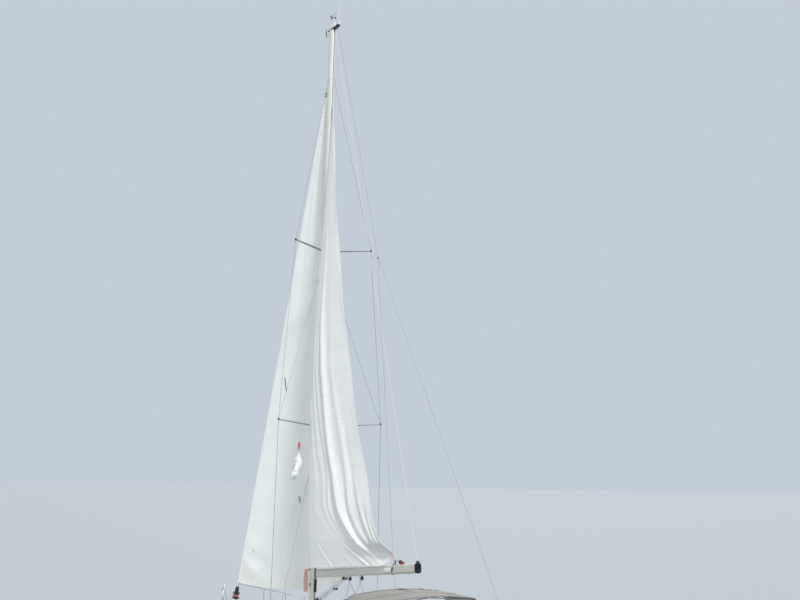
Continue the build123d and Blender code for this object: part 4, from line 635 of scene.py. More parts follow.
# Folds that run up from the clew: place as a share of the band's width from the leech, half width,
# height of the ridge to port, lowest and highest point of the fold
MAIN_FOLDS = (
    (1.00, 0.100, 0.085, 0.35, 11.0), (1.20, 0.07, -0.035, 0.5, 9.0), (0.80, 0.06, -0.030, 0.5, 3.4),
    (0.62, 0.09, 0.026, 0.6, 8.0), (0.44, 0.07, -0.018, 0.5, 5.0), (0.34, 0.05, 0.022, 0.4, 2.8),
    (0.25, 0.035, -0.018, 0.35, 2.0), (0.17, 0.035, 0.018, 0.35, 1.8), (0.09, 0.03, -0.014, 0.3, 1.5),
    (0.52, 0.03, -0.014, 0.4, 1.9), (1.34, 0.045, 0.012, 1.6, 11.0), (1.46, 0.04, -0.012, 1.8, 11.0),
    (1.58, 0.045, 0.010, 1.6, 11.0), (1.72, 0.05, -0.010, 1.6, 10.0), (1.90, 0.09, 0.008, 1.6, 10.0),
)
# Creases over the foot: place on the foot, lean forward per height, reach up, half width, lift
FOOT_CREASES = (
    (1.70, 1.0, 0.80, 0.05, 0.010), (1.82, 1.0, 0.70, 0.05, -0.008), (3.10, 1.5, 0.62, 0.045, 0.020),
    (3.21, 1.5, 0.58, 0.045, -0.016), (0.60, 0.7, 0.50, 0.05, 0.007), (2.60, 1.2, 0.42, 0.06, 0.008),
)
CLEW_SCOOP = 0.130          # how far the leech stands to port over the clew
CLEW_POCKET = 0.150         # depth of the hollow under it
CLEW_RISE = 0.100           # how far the foot rises to the clew
FOOT_SAG = 0.045            # how far it hangs down before that
LEECH_WAVE = 0.015
PATCH_OFF = 0.006           # doubled cloth, off the face of the sail


def fold_share(height, from_leech, chord):
    """Where a point lies in the fan of folds: 0 on the leech, 1 on the main fold."""
    band = 0.45 + 0.95 * math.tanh((max(height, 0.0) / 1.25)**1.3) - 0.25 * smooth(1.3, 2.6, height)
    band = min(band, 0.50 * chord)
    return from_leech / band


def fold_height(height, from_leech, chord):
    """How far the folds lift the cloth to port."""
    share = fold_share(height, from_leech, chord)
    total = 0.0
    for place, half, lift, low, high in MAIN_FOLDS:
        wander = 0.035 * math.sin(1.7 * height + 9 * place)
        near = math.exp(-((share - place - wander) / half)**2)
        total += lift * near * smooth(low * 0.3, low + 0.4, height) * (1 - smooth(high * 0.4, high, height))
    return total * min(1.0, chord / 2.2)


def tack_crease(height, along):
    """Small creases over the foot near the tack and the middle."""
    total = 0.0
    for start, lean, reach, half, lift in FOOT_CREASES:
        far = along - start + lean * (height - MAIN_LOW)
        total += lift * math.exp(-(far / half)**2) * (1 - smooth(0.4 * reach, reach, height - MAIN_LOW))
    return total


def main_point(s, height):
    """Point of the mainsail a share s along its chord, at a height of the luff."""
    chord, angle, depth = (curve_value(column(MAIN_ROWS, k), height) for k in (1, 2, 3))
    angle = math.radians(angle)
    luff = mast_point(height, SWING_AFT) - FORE * 0.006
    slope = math.tan(BOOM_RISE) * max(0.0, 1 - height / 4)
    along = s * chord
    from_leech = chord - along
    edge = smooth(0, 0.06, s) * (1 - 0.75 * smooth(0.985, 1.0, s))
    out = depth * chord * curve_value(CAMBER, s)
    out += (fold_height(height, from_leech, chord) + tack_crease(height, along)) * edge
    over_clew = smooth(0.20, 0.70, height) * (1 - smooth(0.9, 2.6, height))
    out += CLEW_SCOOP * math.exp(-(from_leech / 0.75)**2) * over_clew
    out -= CLEW_POCKET * math.exp(-((from_leech - 0.40) / 0.27)**2 - ((height - 0.42) / 0.17)**2)
    out += LEECH_WAVE * math.sin(2.1 * height) * smooth(0.9, 1.0, s) * smooth(0.8, 2.0, height)
    rise = CLEW_RISE * smooth(0.89, 1.0, s) * (1 - smooth(MAIN_LOW, 0.80, height))
    rise -= FOOT_SAG * math.exp(-((s - 0.85) / 0.07)**2) * (1 - smooth(MAIN_LOW, 0.60, height))
    x = luff.x - math.cos(angle) * along + math.sin(angle) * out
    y = luff.y + math.sin(angle) * along + math.cos(angle) * out
    return Vector((x, y, luff.z + slope * (luff.x - x) + rise))


def main_height(t):
    """Rows of the mesh lie closer together near the foot."""
    return MAIN_LOW + (MAIN_HIGH - MAIN_LOW) * (0.45 * t + 0.55 * t**2)


def edge_tape(point, samples, radius, name):
    """Round hem along one edge of a sail."""
    return Piece().tube([point(k / samples) for k in range(samples + 1)], radius, 6).finish(name, "patch")


def boom_blend(piece):
    """Cloth or rope between the hull and the boom: bakes its transform into its mesh."""
    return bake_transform(piece)


def corner_patch(point, samples, name, finish):
    """Doubled cloth in a corner of a sail, on both of its faces."""
    piece = Piece()
    for offset in (PATCH_OFF, -PATCH_OFF):
        piece.sheet(lambda s, t, off=PORT * offset: point(s, t) + off, samples, samples,
                    uv=lambda s, t: (s, 0.2 + 0.1 * t))
    return piece.finish(name, finish)


def make_mainsail():
    def chord(height):
        return curve_value(column(MAIN_ROWS, 1), height)

    def clew(s, t):
        height = MAIN_LOW + 0.34 * t
        inner = 1 - 0.20 * (1 - t) / chord(height)
        return main_point(inner + (1 - inner) * s, height)

    cloth = Piece().sheet(lambda s, t: main_point(s, main_height(t)), 150, 300,
                          uv=lambda s, t: (s * chord(main_height(t)), main_height(t) - 0.13))
    sail = cloth.finish("mainsail_cloth", "main")
    tapes = [
        edge_tape(lambda t: main_point(1.0, main_height(t)), 220, 0.007, "mainsail_leech_tape"),
        edge_tape(lambda t: main_point(t, MAIN_LOW), 90, 0.009, "mainsail_foot_rope"),
        edge_tape(lambda t: main_point(0.0, main_height(t)), 120, 0.008, "mainsail_luff_tape"),
        corner_patch(clew, 14, "mainsail_clew_patch", "faded"),
    ]
    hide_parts("mainsail")
    for piece in (sail, *tapes):
        boom_blend(piece)


# Genoa: share of the luff, hollow of the leech forward, depth of the belly
GENOA_ROWS = ((-0.03, -0.03, 0.04), (0.12, 0.12, 0.09), (0.35, 0.33, 0.11), (0.6, 0.42, 0.11),
              (0.82, 0.30, 0.09), (1.0, 0.0, 0.04))
GENOA_CAMBER = ((0, 0), (0.15, 0.66), (0.36, 1.0), (0.70, 0.66), (1.0, 0))
GENOA_CLEW = Vector((1.150, -1.090, 2.880))
GENOA_TACK_Z, GENOA_HEAD_Z = 2.420, 15.950
GENOA_TALL = GENOA_HEAD_Z - GENOA_TACK_Z
GENOA_FOOT, GENOA_LUFF = 5.3, 13.2
GENOA_FOOT_ROUND = 0.250
GENOA_CLEAR = 0.0226        # luff from the stay's axis


def genoa_point(s, share):
    """Point of the genoa a share s from its luff to its leech, at a share of the luff's height."""
    hollow, depth = (curve_value(column(GENOA_ROWS, k), share) for k in (1, 2))
    rise = share * GENOA_TALL
    luff = stay_point(GENOA_TACK_Z + rise) - FORE * GENOA_CLEAR
    head = stay_point(GENOA_HEAD_Z) - Vector((FOIL + 0.160, 0.020, 0))
    chord = GENOA_CLEW.lerp(head, share) + FORE * hollow - luff
    out = Vector((chord.y, -chord.x, 0)).normalized()
    out = out if out.y < 0 else -out
    belly = depth * chord.length * curve_value(GENOA_CAMBER, s)
    near_tack = math.exp(-((s * chord.length)**2 + (rise - 0.3)**2) / 1.1)
    wrinkle = 0.020 * near_tack * math.sin(9 * (rise + 0.45 * s * chord.length)) * smooth(0, 0.05, s)
    inside = smooth(0.02, 0.2, s) * (1 - smooth(0.9, 1.0, s))
    flute = 0.010 * math.sin(2 * math.pi * s * 3 + 0.6 * rise) * inside
    return luff + chord * s + out * (belly + wrinkle + flute)


def genoa_share(s, t):
    """Share of the luff at a place of the mesh: its lowest row follows the rounded foot."""
    low = -GENOA_FOOT_ROUND * 4 * s * (1 - s) / GENOA_TALL
    return low + (1 - low) * t


def genoa_patch(corner, deep, wide, name):
    """Patch that narrows away from a corner of the genoa; corner gives its place along and up the sail."""
    def point(s, t):
        along, up = corner(s * wide, t * deep * (1 - 0.55 * s))
        return genoa_point(along, genoa_share(along, up))

    return corner_patch(point, 12, name, "patch")


def make_genoa():
    def uv(s, t):
        return s * GENOA_FOOT * (1 - t), t * GENOA_TALL - 0.12 * s * GENOA_FOOT * (1 - t)

    cloth = Piece().sheet(lambda s, t: genoa_point(s, genoa_share(s, t)), 90, 200, uv=uv)
    sail = cloth.finish("genoa_cloth", "genoa", "hull")
    tapes = [
        edge_tape(lambda t: genoa_point(1.0, t), 160, 0.006, "genoa_leech_tape"),
        edge_tape(lambda t: genoa_point(t, genoa_share(t, 0.0)), 70, 0.008, "genoa_foot_tape"),
        edge_tape(lambda t: genoa_point(0.0, t), 80, 0.007, "genoa_luff_tape"),
        genoa_patch(lambda along, up: (1 - along, up), 0.055, 0.14, "genoa_clew_patch"),
        genoa_patch(lambda along, up: (along, up), 0.05, 0.12, "genoa_tack_patch"),
    ]
    for tape in tapes:
        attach(tape, "hull")
    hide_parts("genoa")


# ---- Canvas ----
BIMINI_FORE_X, BIMINI_AFT_X = -3.0, -4.4
BIMINI_HALF = 1.350
BIMINI_EDGE_Z, BIMINI_TOP_Z = 2.780, 3.000
# Sprayhood: x, half width, height of its edge and of its top
HOOD_ROWS = ((-0.980, 0.880, 1.690, 1.790), (-1.060, 0.900, 1.770, 1.930), (-1.650, 1.000, 2.080, 2.290),
             (-2.330, 1.030, 2.180, 2.480))
HOOD_LOW_Z = 1.70            # its sides start inside the cabin's roof


def arch_point(half, edge_z, top_z, u, low_z):
    """Point of an arched canvas section, u from -1 on port to 1 on starboard, its sides down to low_z."""
    corner, shoulder = half * 0.86, edge_z + (top_z - edge_z) * 0.62
    a = abs(u)
    crown = top_z - shoulder
    rows = ((0, 0.0, top_z), (0.30, corner * 0.42, top_z - crown * 0.17),
            (0.62, corner * 0.88, shoulder + crown * 0.24), (0.72, corner, shoulder),
            (0.84, half, edge_z), (1.0, half, low_z))
    return math.copysign(curve_value(column(rows, 1), a), -u), curve_value(column(rows, 2), a)


def make_bimini():
    low = BIMINI_EDGE_Z - 0.090

    def point(s, t):
        u = -1 + 2 * s
        x = BIMINI_AFT_X + (BIMINI_FORE_X - BIMINI_AFT_X) * t
        drop = curve_value(((0, -0.04), (0.5, 0.0), (1, 0.0)), t)
        y, z = arch_point(BIMINI_HALF, BIMINI_EDGE_Z + drop, BIMINI_TOP_Z + drop, u, low + drop)
        flat = 1 - smooth(0.55, 0.85, abs(u))
        sag = 0.020 * math.sin(math.pi * t)**2 * flat
        hems = math.exp(-(t / 0.06)**2) + math.exp(-((1 - t) / 0.06)**2)
        pucker = 0.004 * math.sin(46 * u) * hems * flat
        ripple = 0.005 * math.sin(7 * u + 5 * t) * math.sin(math.pi * t) * flat
        return Vector((x, y, z - sag + pucker + ripple))

    cloth = Piece().sheet(point, 150, 70, uv=lambda s, t: (s * 3.2, t * 1.4))
    top = cloth.finish("bimini_canvas", "canvas", "hull")
    edges = Piece()
    for t in (0.0, 1.0):
        edges.tube([point(s / 90, t) for s in range(91)], 0.007, 6)
    for s in (0.0, 1.0):
        edges.tube([point(s, t / 20) for t in range(21)], 0.006, 6)
    for t in (0.06, 0.5, 0.94):
        edges.tube([point(s / 90, t) + UP * 0.002 for s in range(9, 82)], 0.0035, 5)
    hem = edges.finish("bimini_hem", "binding", "hull")
    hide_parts("bimini")


def hood_point(s, t):
    """Point of the sprayhood: it stands on the roof and leaves the slide's hood free."""
    u = -1 + 2 * s
    fore = HOOD_ROWS[0][0] - 0.095 * (1 - smooth(0.37, 0.43, abs(u)))
    x = fore + (HOOD_ROWS[-1][0] - fore) * t
    half, edge, top = (straight_value([(-row[0], row[k]) for row in HOOD_ROWS], -x) for k in (1, 2, 3))
    y, z = arch_point(half, edge, top, u, HOOD_LOW_Z)
    flat = 1 - smooth(0.6, 0.9, abs(u))
    ripple = 0.004 * math.sin(11 * u + 7 * t) - 0.014 * math.sin(math.pi * min(t * 1.6, 1.0))**2
    z += ripple * flat * smooth(0, 0.2, t)
    return Vector((x, y, max(z, roof_z(max(x, -2.3), abs(y)) + 0.002)))


def hood_panel(s, t):
    """Where the hood's clear panels lie: 1 in a panel."""
    u = abs(-1 + 2 * s)
    return int(0.14 < t < 0.47 and (u < 0.24 or 0.31 < u < 0.60) or 0.24 < t < 0.82 and 0.87 < u < 0.965)


def make_sprayhood():
    cloth = Piece().sheet(hood_point, 120, 80, uv=lambda s, t: (s * 3.0, t * 1.4), slot=hood_panel)
    hood = cloth.finish("sprayhood_canvas", ["canvas", "vinyl"], "hull")
    edges = Piece()
    for t in (0.0, 1.0):
        edges.tube([hood_point(s / 120, t) for s in range(121)], 0.008, 6)
    for s in (0.285, 0.715):
        edges.tube([hood_point(s, t / 24) + UP * 0.002 for t in range(25)], 0.004, 5)
    edges.tube([hood_point(s / 90, 0.50) + UP * 0.003 for s in range(8, 83)], 0.004, 5)
    hem = edges.finish("sprayhood_hem", "binding", "hull")
    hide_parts("sprayhood")


# ---- Running rigging and deck gear ----
TRAVELLER_X = -0.570
SHEET_BLOCKS = (2.05, 2.65)         # reaches of the mainsheet's blocks on the boom
SHEET_ROPE = 0.005                  # radius of the sheets and control lines
VANG_SIDE = 0.036                   # half the distance of the vang's two sets of blocks
WIRE_TERMINAL = ((0, 0.006), (0.01, 0.009), (0.16, 0.009), (0.18, 0.005))
TAPERED_DRUM = ((0, 0.046), (0.01, 0.075), (0.055, 0.088), (0.10, 0.075), (0.11, 0.046))
SWIVEL = ((0, 0.026), (0.01, 0.048), (0.06, 0.048), (0.07, 0.040), (0.12, 0.044), (0.13, 0.026))
LAMP_HOOD = ((0, 0.030), (0.03, 0.045), (0.07, 0.048), (0.085, 0.03))
SPREADER_BOOT = ((0, 0.010), (0.01, 0.028), (0.045, 0.028), (0.055, 0.01))
COMPASS = ((0, 0.085), (0.02, 0.085), (0.03, 0.075), (0.055, 0.060), (0.075, 0.034), (0.082, 0.0))


def pulley(piece, centre, axis, radius=0.034, slots=(0, 0)):
    """Block: two cheeks on a sheave, each with its slot."""
    axis = Vector(axis).normalized()
    cheek = radius * 0.30
    for side in (1, -1):
        piece.slot = slots[0]
        piece.turned(Vector(centre) + axis * side * cheek, axis * side,
                     [(0, radius), (0.006, radius), (0.011, radius * 0.75)], 18)
    piece.slot = slots[1]
    piece.turned(Vector(centre) - axis * cheek, axis, [(0, radius * 0.85), (2 * cheek, radius * 0.85)], 18)
    piece.slot = 0


def run_rope(name, finish, points, radius=SHEET_ROPE, body="hull", sides=8):
    """One rope along points, as a piece of its own."""
    return Piece().tube(points, radius, sides).finish(name, finish, body)


def make_lifelines():
    """Guard wires through the stanchions, with their end fittings."""
    wires = Piece()
    for side in (1, -1):
        for high in (RAIL_HIGH - 0.016, 0.300):
            stops = [rail_point(x, side, high) for x in (PULPIT_AFT_X, *reversed(STANCHION_X), PUSHPIT_FORE_X)]
            wires.tube(stops, 0.003, 6)
            for end, near in (stops[:2], stops[:-3:-1]):
                along = (near - end).normalized()
                wires.turned(end + along * 0.03, along, WIRE_TERMINAL, 10)
    wires.finish("guard_wires", "guard", "hull")


def make_topping_lift():
    """Line from the masthead to the boom's end, above the boom's hinge line so that it turns with it."""
    head, foot = mast_point(14.975, 0.166), boom_point(BOOM_LENGTH - 0.03, 0.118)
    run_rope("topping_lift", "pink_rope", [head, head.lerp(foot, 0.5), foot], 0.0045, "boom")
    gear = Piece().turned(foot + Vector((0, 0.022, 0.012)), -PORT, [(0, 0.026), (0.044, 0.026)], 16)
    gear.block(foot - UP * 0.006, (0.09, 0.05, 0.05))
    gear.block(boom_point(BOOM_LENGTH + 0.004, -0.05), (0.03, 0.07, 0.05))
    gear.finish("boom_end_sheaves", "black", "boom")


def make_mainsheet():
    """Four-part mainsheet from the boom to a car on the traveller ahead of the sprayhood."""
    low = roof_z(TRAVELLER_X, 0) + 0.030
    car = Vector((TRAVELLER_X, 0.030, low + 0.045))
    track = Piece().block((TRAVELLER_X, 0, low), (0.032, 1.36, 0.020), bevel=0.1)
    for y in (-0.62, -0.31, 0.0, 0.31, 0.62):
        foot = roof_z(TRAVELLER_X, y)
        track.block((TRAVELLER_X, y, (foot + low) / 2), (0.050, 0.040, low - foot))
    track.block(car - UP * 0.022, (0.085, 0.150, 0.026))
    for side in (1, -1):
        pulley(track, car + Vector((0.0, 0.036 * side, 0.024)), PORT, 0.030)
        track.block((TRAVELLER_X, 0.665 * side, low + 0.012), (0.06, 0.035, 0.034))
    track.finish("traveller", "black", "hull")
    gear = Piece()
    for reach in SHEET_BLOCKS:
        sling = [boom_point(reach + step, up) for step, up in ((-0.05, -0.100), (0, -0.125), (0.05, -0.100))]
        gear.tube(sling, SHEET_ROPE, 8)
        pulley(gear, boom_point(reach, -0.165), PORT, 0.046)
        gear.block(boom_point(reach, -0.128), (0.030, 0.022, 0.030))
    gear.finish("mainsheet_blocks", "black", "boom")
    for number, reach in enumerate(SHEET_BLOCKS):
        top = boom_point(reach, -0.165)
        falls = Piece()
        for offset in (0.027, -0.027):
            start, end = car + Vector((offset, 0.036 * (1 - 2 * number), 0.024)), top + FORE * offset
            falls.tube([start, start.lerp(end, 0.5), end], SHEET_ROPE, 8)
        line = falls.finish(f"mainsheet_fall_{number + 1}", "white_rope")
        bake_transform(line)
    lead = [boom_point(reach, -0.127, 0.03) for reach in (SHEET_BLOCKS[1], 0.40)]
    run_rope("mainsheet_lead", "white_rope", lead, body="boom")


def make_vang_tackle():
    """Purchase beside the rod vang, on the boom's hinge line at its foot."""
    low, high = mast_point(-0.72, SWING_AFT), boom_point(1.95, -0.085)
    along = (high - low).normalized()
    up = PORT.cross(along).normalized()
    up = up if up.z > 0 else -up
    near, far = low + along * 0.22, high - along * 0.20
    lines, gear = Piece(), Piece()
    for lift, spread in ((0.030, 1.5), (-0.030, 1.7)):
        for wide in (VANG_SIDE, -VANG_SIDE):
            ends = [near + up * lift * spread, far + up * lift]
            lines.tube([end + PORT * wide for end in ends], 0.007, 8)
    lines.finish("vang_lines", "white_rope", "boom")
    middle = low.lerp(high, 0.62)
    for wide in (VANG_SIDE, -VANG_SIDE):
        for place, radius in ((near, 0.044), (far, 0.038), (middle - up * 0.075, 0.028)):
            pulley(gear, place + PORT * wide, PORT, radius)
    gear.block(near - along * 0.03, (0.03, 0.10, 0.04))
    gear.block(far + along * 0.02, (0.04, 0.10, 0.04))
    gear.finish("vang_blocks", "black", "boom")
    run_rope("vang_tail", "white_rope", [middle - up * 0.10, near + along * 0.02 - up * 0.070], 0.0045, "boom")


def make_clew_gear():
    """Outhaul block, straps and sheave box at the mainsail's clew."""
    gear = Piece()
    clew = boom_point(4.43, 0.150)
    pulley(gear, clew, (0, 1, 0.15), 0.046, (0, 1))
    pulley(gear, clew + Vector((-0.10, 0, -0.015)), (0, 1, 0.1), 0.036, (1, 0))
    gear.tube([clew + Vector((0.16, 0.01, 0.02)), clew, clew + Vector((-0.13, 0, -0.02))], 0.007, 8)
    for reach in (4.15, 4.19):
        strap = oval(boom_point(reach), PORT * 0.074, (UP - FORE * 0.35) * 0.114, 28)
        gear.tube(strap, 0.006, 6, closed=True)
    gear.finish("clew_blocks", ["black", "red"], "boom")
    plate = Piece()
    for side in (1, -1):
        plate.block(boom_point(3.98, 0.0, side * 0.066), (0.34, 0.006, 0.085),
                    Matrix.Rotation(BOOM_RISE, 3, "Y"))
    plate.finish("boom_sheave_plates", "white_plastic", "boom")


def make_genoa_sheet():
    """Sheet from the clew through the starboard car to its winch."""
    car = Vector((-0.150, -1.300, deck_z(-0.150, 1.300) + 0.062))
    winch = Vector((-3.215, -1.290, 1.650))
    points = [GENOA_CLEW, car + Vector((0.02, 0, 0.035)), car + Vector((-0.04, 0, 0.020)), winch]
    run_rope("genoa_sheet", "blue_rope", points, 0.006)
    clew = Piece().turned(GENOA_CLEW + Vector((0.03, 0.012, 0.01)), -PORT,
                          [(0, 0.030), (0.006, 0.034), (0.018, 0.034), (0.024, 0.030)], 18)
    clew.finish("genoa_clew_ring", "stainless", "hull")


def make_furling_gear():
    """Furling line with its wraps and leads, the head's swivel with its halyard, and the tack's strop."""
    foot = stay_point(2.010)
    axis = (stay_point(3.0) - foot).normalized()
    Piece().turned(foot, axis, TAPERED_DRUM, 28).finish("furling_line_wraps", "furling", "hull")
    leads = [rail_point(x, 1, 0.085, RAIL_INSET + 0.045) for x in reversed(STANCHION_X)]
    fore = [foot + Vector((0.0, 0.086, 0.05)), rail_point(4.72, 1, 0.16, RAIL_INSET + 0.06)]
    run_rope("furling_line", "furling", [*fore, *leads, Vector((-3.200, 1.350, 1.640))], 0.004, sides=6)
    gear = Piece()
    for lead in leads:
        pulley(gear, lead - UP * 0.012, PORT, 0.022)
        gear.block(lead + Vector((0, 0.022, -0.010)), (0.02, 0.03, 0.02))
    gear.finish("furling_line_leads", "black", "hull")
    top = stay_point(GENOA_HEAD_Z + 0.20)
    swivel = Piece().turned(top, axis, SWIVEL, 20)
    swivel.block(top + Vector((-0.060, 0, 0.02)), (0.05, 0.02, 0.07))
    swivel.finish("headsail_swivel", "fitting", "hull")
    halyard = [top + Vector((-0.050, 0, 0.09)), mast_point(HOUNDS + 0.12, -0.118)]
    run_rope("genoa_halyard", "white_rope", halyard)
    run_rope("tack_strop", "black", [stay_point(2.330) - FORE * 0.055, genoa_point(0.004, 0.001)], 0.006)


def make_mast_gear():
    """Fittings on the mast: furling gear at the gooseneck, button, halyard hook, lamp and spreader ends."""
    gear = Piece()
    for height, aft, size in ((-0.300, 0.150, (0.050, 0.062, 0.330)), (-0.200, 0.168, (0.050, 0.050, 0.090)),
                              (-0.400, 0.165, (0.040, 0.046, 0.070))):
        gear.block(mast_point(height, aft), size)
    gear.turned(mast_point(-0.280, 0.010, 0.070), PORT, [(0, 0.030), (0.014, 0.030), (0.020, 0.020)], 20)
    gear.block(mast_point(0.070, -0.105, 0.052), (0.045, 0.030, 0.060))
    gear.turned(mast_point(5.300, -0.120), FORE, LAMP_HOOD, 20)
    for row in (0, 1):
        for side in (1, -1):
            tip = spreader_tip(row, side)
            gear.turned(tip - PORT * (side * 0.03), (0, side, 0.06), SPREADER_BOOT, 14)
    gear.finish("mast_gear", "black", "hull")
    collar = oval(Vector((MAST_X + 0.021, 0, 1.850)), FORE * 0.150, PORT * 0.098, 40)
    Piece().tube(collar, 0.014, 8, closed=True).finish("mast_collar", "grey", "hull")


def make_halyard_coil():
    """Tail of a halyard, coiled and hung on the mast's port side."""
    hook = mast_point(0.070, -0.105, 0.068)
    path = [hook]
    turns, steps = 6, 40
    centre = Vector((MAST_X + 0.118, 0.098, 2.860))
    for k in range(turns * steps + 1):
        a = math.tau * k / steps
        wide = 0.062 - 0.016 * math.cos(a)
        path.append(centre + Vector((wide * math.sin(a), 0.0145 * a / math.tau, 0.285 * math.cos(a))))
    path[1:1] = [hook.lerp(path[1], 0.5)]
    length = sum((b - a).length for a, b in zip(path, path[1:]))
    coil = Piece().tube(path, 0.006, 8).finish("halyard_coil", "coil", "hull")
    [tuple(v) for v in path]


def on_roof(x, y, high=0.0):
    return Vector((x, y, roof_z(x, y) + high))


def make_deck_lines():
    """Control lines from the mast's foot to the clutches, and the clutches by the slide."""
    lines, gear = Piece(), Piece()
    for side in (1, -1):
        gear.block(on_roof(0.640, side * 0.500, 0.014), (0.060, 0.280, 0.028))
        for k in range(4):
            y = side * (0.405 + 0.062 * k)
            turn = Vector((0.930, side * (0.120 + 0.045 * k), roof_z(0.930, 0.2) + 0.045))
            end = Vector((-0.700, side * (0.560 + 0.02 * k), roof_z(-0.7, 0.6) + 0.055))
            pulley(gear, turn, UP, 0.020)
            gear.block(turn - UP * 0.025, (0.016, 0.016, 0.045))
            lines.slot = k % 3
            lines.tube([turn + PORT * (side * 0.018), on_roof(0.640, y, 0.020), on_roof(-0.200, y, 0.030), end],
                       SHEET_ROPE, 6)
            gear.block(on_roof(-0.230, y, 0.028), (0.190, 0.046, 0.056), bevel=0.2)
            gear.block(on_roof(-0.230, y, 0.063) + FORE * 0.030, (0.110, 0.024, 0.014), bevel=0.3)
    lines.finish("control_lines", ["white_rope", "blue_rope", "furling"], "hull")
    gear.finish("clutches", "black", "hull")


def make_helm_gear():
    """Compasses, instrument pods and engine lever on the pedestals, and the navigation lights."""
    dark = Piece()
    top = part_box("helm_pedestals")[1][2]
    for side in (1, -1):
        centre = Vector((-4.930, side * 0.900, top))
        dark.turned(centre, UP, COMPASS, 28)
        dark.block(centre + Vector((-0.085, 0, -0.01)), (0.04, 0.16, 0.06))
    knob = Vector((-4.97, -0.755, 1.44))
    dark.tube([Vector((-4.93, -0.785, 1.30)), Vector((-4.95, -0.755, 1.38)), knob], 0.009, 8)
    dark.turned(knob, UP, [(0, 0.012), (0.012, 0.020), (0.03, 0.014)], 14)
    dark.finish("helm_instruments", "black", "hull")
    lamps = Piece()
    for side, glass in ((1, 1), (-1, 2)):
        lamp = Vector((6.345, side * 0.235, deck_z(6.25, 0.05) + RAIL_HIGH - 0.120))
        for high, slot, profile in ((0.0, 0, [(0, 0.026), (0.012, 0.030)]),
                                    (0.012, glass, [(0, 0.024), (0.045, 0.024)]),
                                    (0.057, 0, [(0, 0.028), (0.010, 0.022)])):
            lamps.slot = slot
            lamps.turned(lamp + UP * high, UP, profile, 16)
    stern = rail_point(-6.3, -1, RAIL_HIGH + 0.012)
    lamps.turned(stern + PORT * 0.06, UP, [(0, 0.022), (0.05, 0.022), (0.06, 0.016)], 16)
    lamps.finish("navigation_lights", ["black", "red", "green"], "hull")


def make_canvas_fasteners():
    """Black clips along the bimini's fore edge."""
    clips = Piece()
    for u in (-0.795, 0.061, 0.385, 0.795):
        across, high = arch_point(BIMINI_HALF, BIMINI_EDGE_Z, BIMINI_TOP_Z, u, BIMINI_EDGE_Z)
        clips.block((BIMINI_FORE_X - 0.012, across, high + 0.006), (0.030, 0.17, 0.014), bevel=0.3)
    clips.finish("bimini_clips", "black", "hull")


def make_flag():
    """Limp flag on a halyard under the port lower spreader."""
    root, tip = mast_point(SPREADERS[0][0]), spreader_tip(0, 1)
    head = root.lerp(tip, 0.50) - UP * 0.020
    foot = Vector((0.330, 1.330, deck_z(0.33, 1.33) + 0.05))
    halyard = Piece()
    for shift in (0.0, 0.030):
        halyard.tube([head + FORE * shift, head.lerp(foot, 0.5) + FORE * shift, foot], 0.0016, 5)
    halyard.finish("flag_halyard", "white_rope", "hull")
    view = Vector((-0.534, -0.845, 0))
    near = Vector((-0.845, 0.534, 0))
    top_z, tall = head.z - 0.460, 0.940
    widths = ((0, 0.012), (0.08, 0.038), (0.18, 0.026), (0.30, 0.016), (0.42, 0.055), (0.60, 0.095),
              (0.78, 0.070), (0.9, 0.085), (1.0, 0.016))
    drift = ((0, 0.0), (0.3, 0.005), (0.6, 0.0), (0.8, -0.030), (1.0, -0.085))

    def point(s, t):
        spine = head.lerp(foot, (head.z - top_z + tall * t) / (head.z - foot.z))
        wide, side = curve_value(widths, t), curve_value(drift, t)
        fold = 0.5 - 0.5 * math.cos(math.tau * 3.5 * s + 5.0 * t)
        lean = (s - 0.5) * 2 * wide + 0.35 * wide * math.sin(math.tau * 3 * s + 3 * t)
        deep = (0.022 + 0.060 * smooth(0.3, 0.6, t)) * fold
        droop = 0.05 * smooth(0.4, 1.0, t) * math.sin(math.tau * (s - 0.1))
        return spine + view * (side + lean + 0.06) + near * (0.012 + deep) + UP * droop

    flag = Piece().sheet(point, 60, 60, uv=lambda s, t: (s, 1 - t)).finish("courtesy_flag", "flag", "hull")


# Marks on the genoa: place along it, share of its luff, length, drift towards the leech
TELLTALES = ((0.115, 0.436, 0.38, 0.35), (0.440, 0.177, 0.19, 0.15), (0.070, 0.0695, 0.03, 0.0))


def make_telltales():
    """Short dark streamers on the genoa's port face, and a dark dot near its tack."""
    marks = Piece()
    off = Vector((-0.30, 0.95, 0)).normalized() * 0.012
    for s, share, long, turn in TELLTALES:
        path = [genoa_point(s + turn * 0.12 * k / 6, share - long * k / 6 / GENOA_LUFF) + off for k in range(7)]
        for ends in zip(path, path[1:]):
            marks.tube(ends, 0.010, 5)
    marks.finish("telltales", "black", "hull")


# ---- Stage ----
FLOOR_REACH = 6000
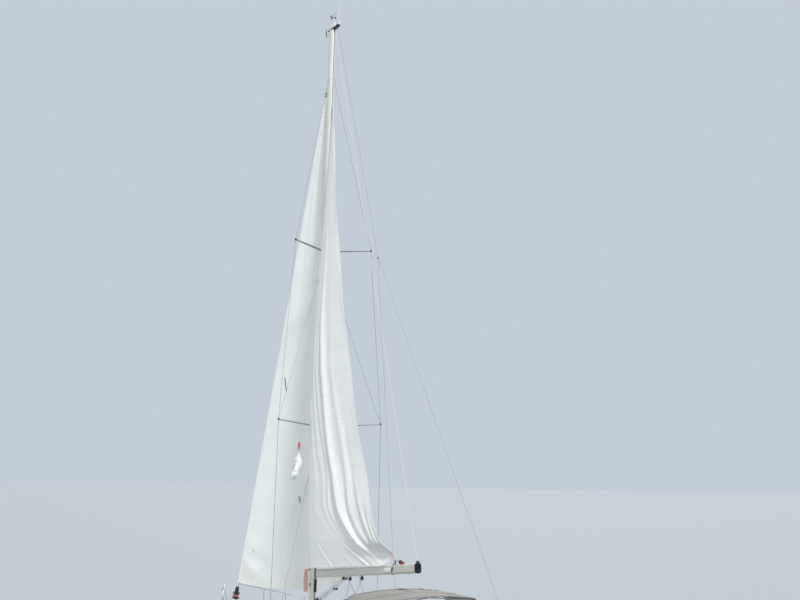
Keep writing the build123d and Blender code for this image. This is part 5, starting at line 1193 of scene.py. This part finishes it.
# Lamps: name, direction to the lamp, strength, angular size
LAMPS = (("key", (-0.80, 0.25, 0.65), 2.3, 10), ("fill", (-0.2, 0.9, 0.35), 0.6, 60),
         ("back", (0.7, -0.6, 0.5), 0.8, 50))


def make_stage():
    """Pale floor at the waterline, a pale sky and soft lamps."""
    data = bpy.data.meshes.new("floor")
    corners = [(x * FLOOR_REACH, y * FLOOR_REACH, 0) for x, y in ((-1, -1), (1, -1), (1, 1), (-1, 1))]
    data.from_pydata(corners, [], [(0, 1, 2, 3)])
    floor = add_object("floor", data)
    data.materials.append(Finish("floor_paint", "b9c0c6", rough=0.9).material)
    world = bpy.data.worlds.new("world")
    bpy.context.scene.world = world
    world.use_nodes = True
    nodes, links = world.node_tree.nodes, world.node_tree.links
    light, seen = nodes["Background"], nodes.new("ShaderNodeBackground")
    light.inputs["Color"].default_value = srgb("e8edf2")
    light.inputs["Strength"].default_value = 0.50
    seen.inputs["Color"].default_value = srgb("c3cdd8")
    path, either, mixer = (nodes.new("ShaderNode" + kind) for kind in ("LightPath", "Math", "MixShader"))
    either.operation = "MAXIMUM"
    for output, socket in ((path.outputs["Is Camera Ray"], either.inputs[0]),
                           (path.outputs["Is Glossy Ray"], either.inputs[1]),
                           (either.outputs[0], mixer.inputs[0]), (light.outputs[0], mixer.inputs[1]),
                           (seen.outputs[0], mixer.inputs[2]),
                           (mixer.outputs[0], nodes["World Output"].inputs["Surface"])):
        links.new(output, socket)
    for name, towards, strength, size in LAMPS:
        lamp = bpy.data.lights.new(name, "SUN")
        lamp.energy = strength
        lamp.angle = math.radians(size)
        obj = add_object(name, lamp)
        obj.rotation_mode = "QUATERNION"
        obj.rotation_quaternion = Vector(towards).to_track_quat("Z", "Y")
    bpy.context.scene.view_settings.view_transform = "Standard"


finish_nodes()
make_mainsail()
make_genoa()
make_bimini()
make_sprayhood()
make_lifelines()
make_topping_lift()
make_mainsheet()
make_vang_tackle()
make_clew_gear()
make_genoa_sheet()
make_furling_gear()
make_mast_gear()
make_halyard_coil()
make_deck_lines()
make_helm_gear()
make_canvas_fasteners()
make_flag()
make_telltales()
make_stage()
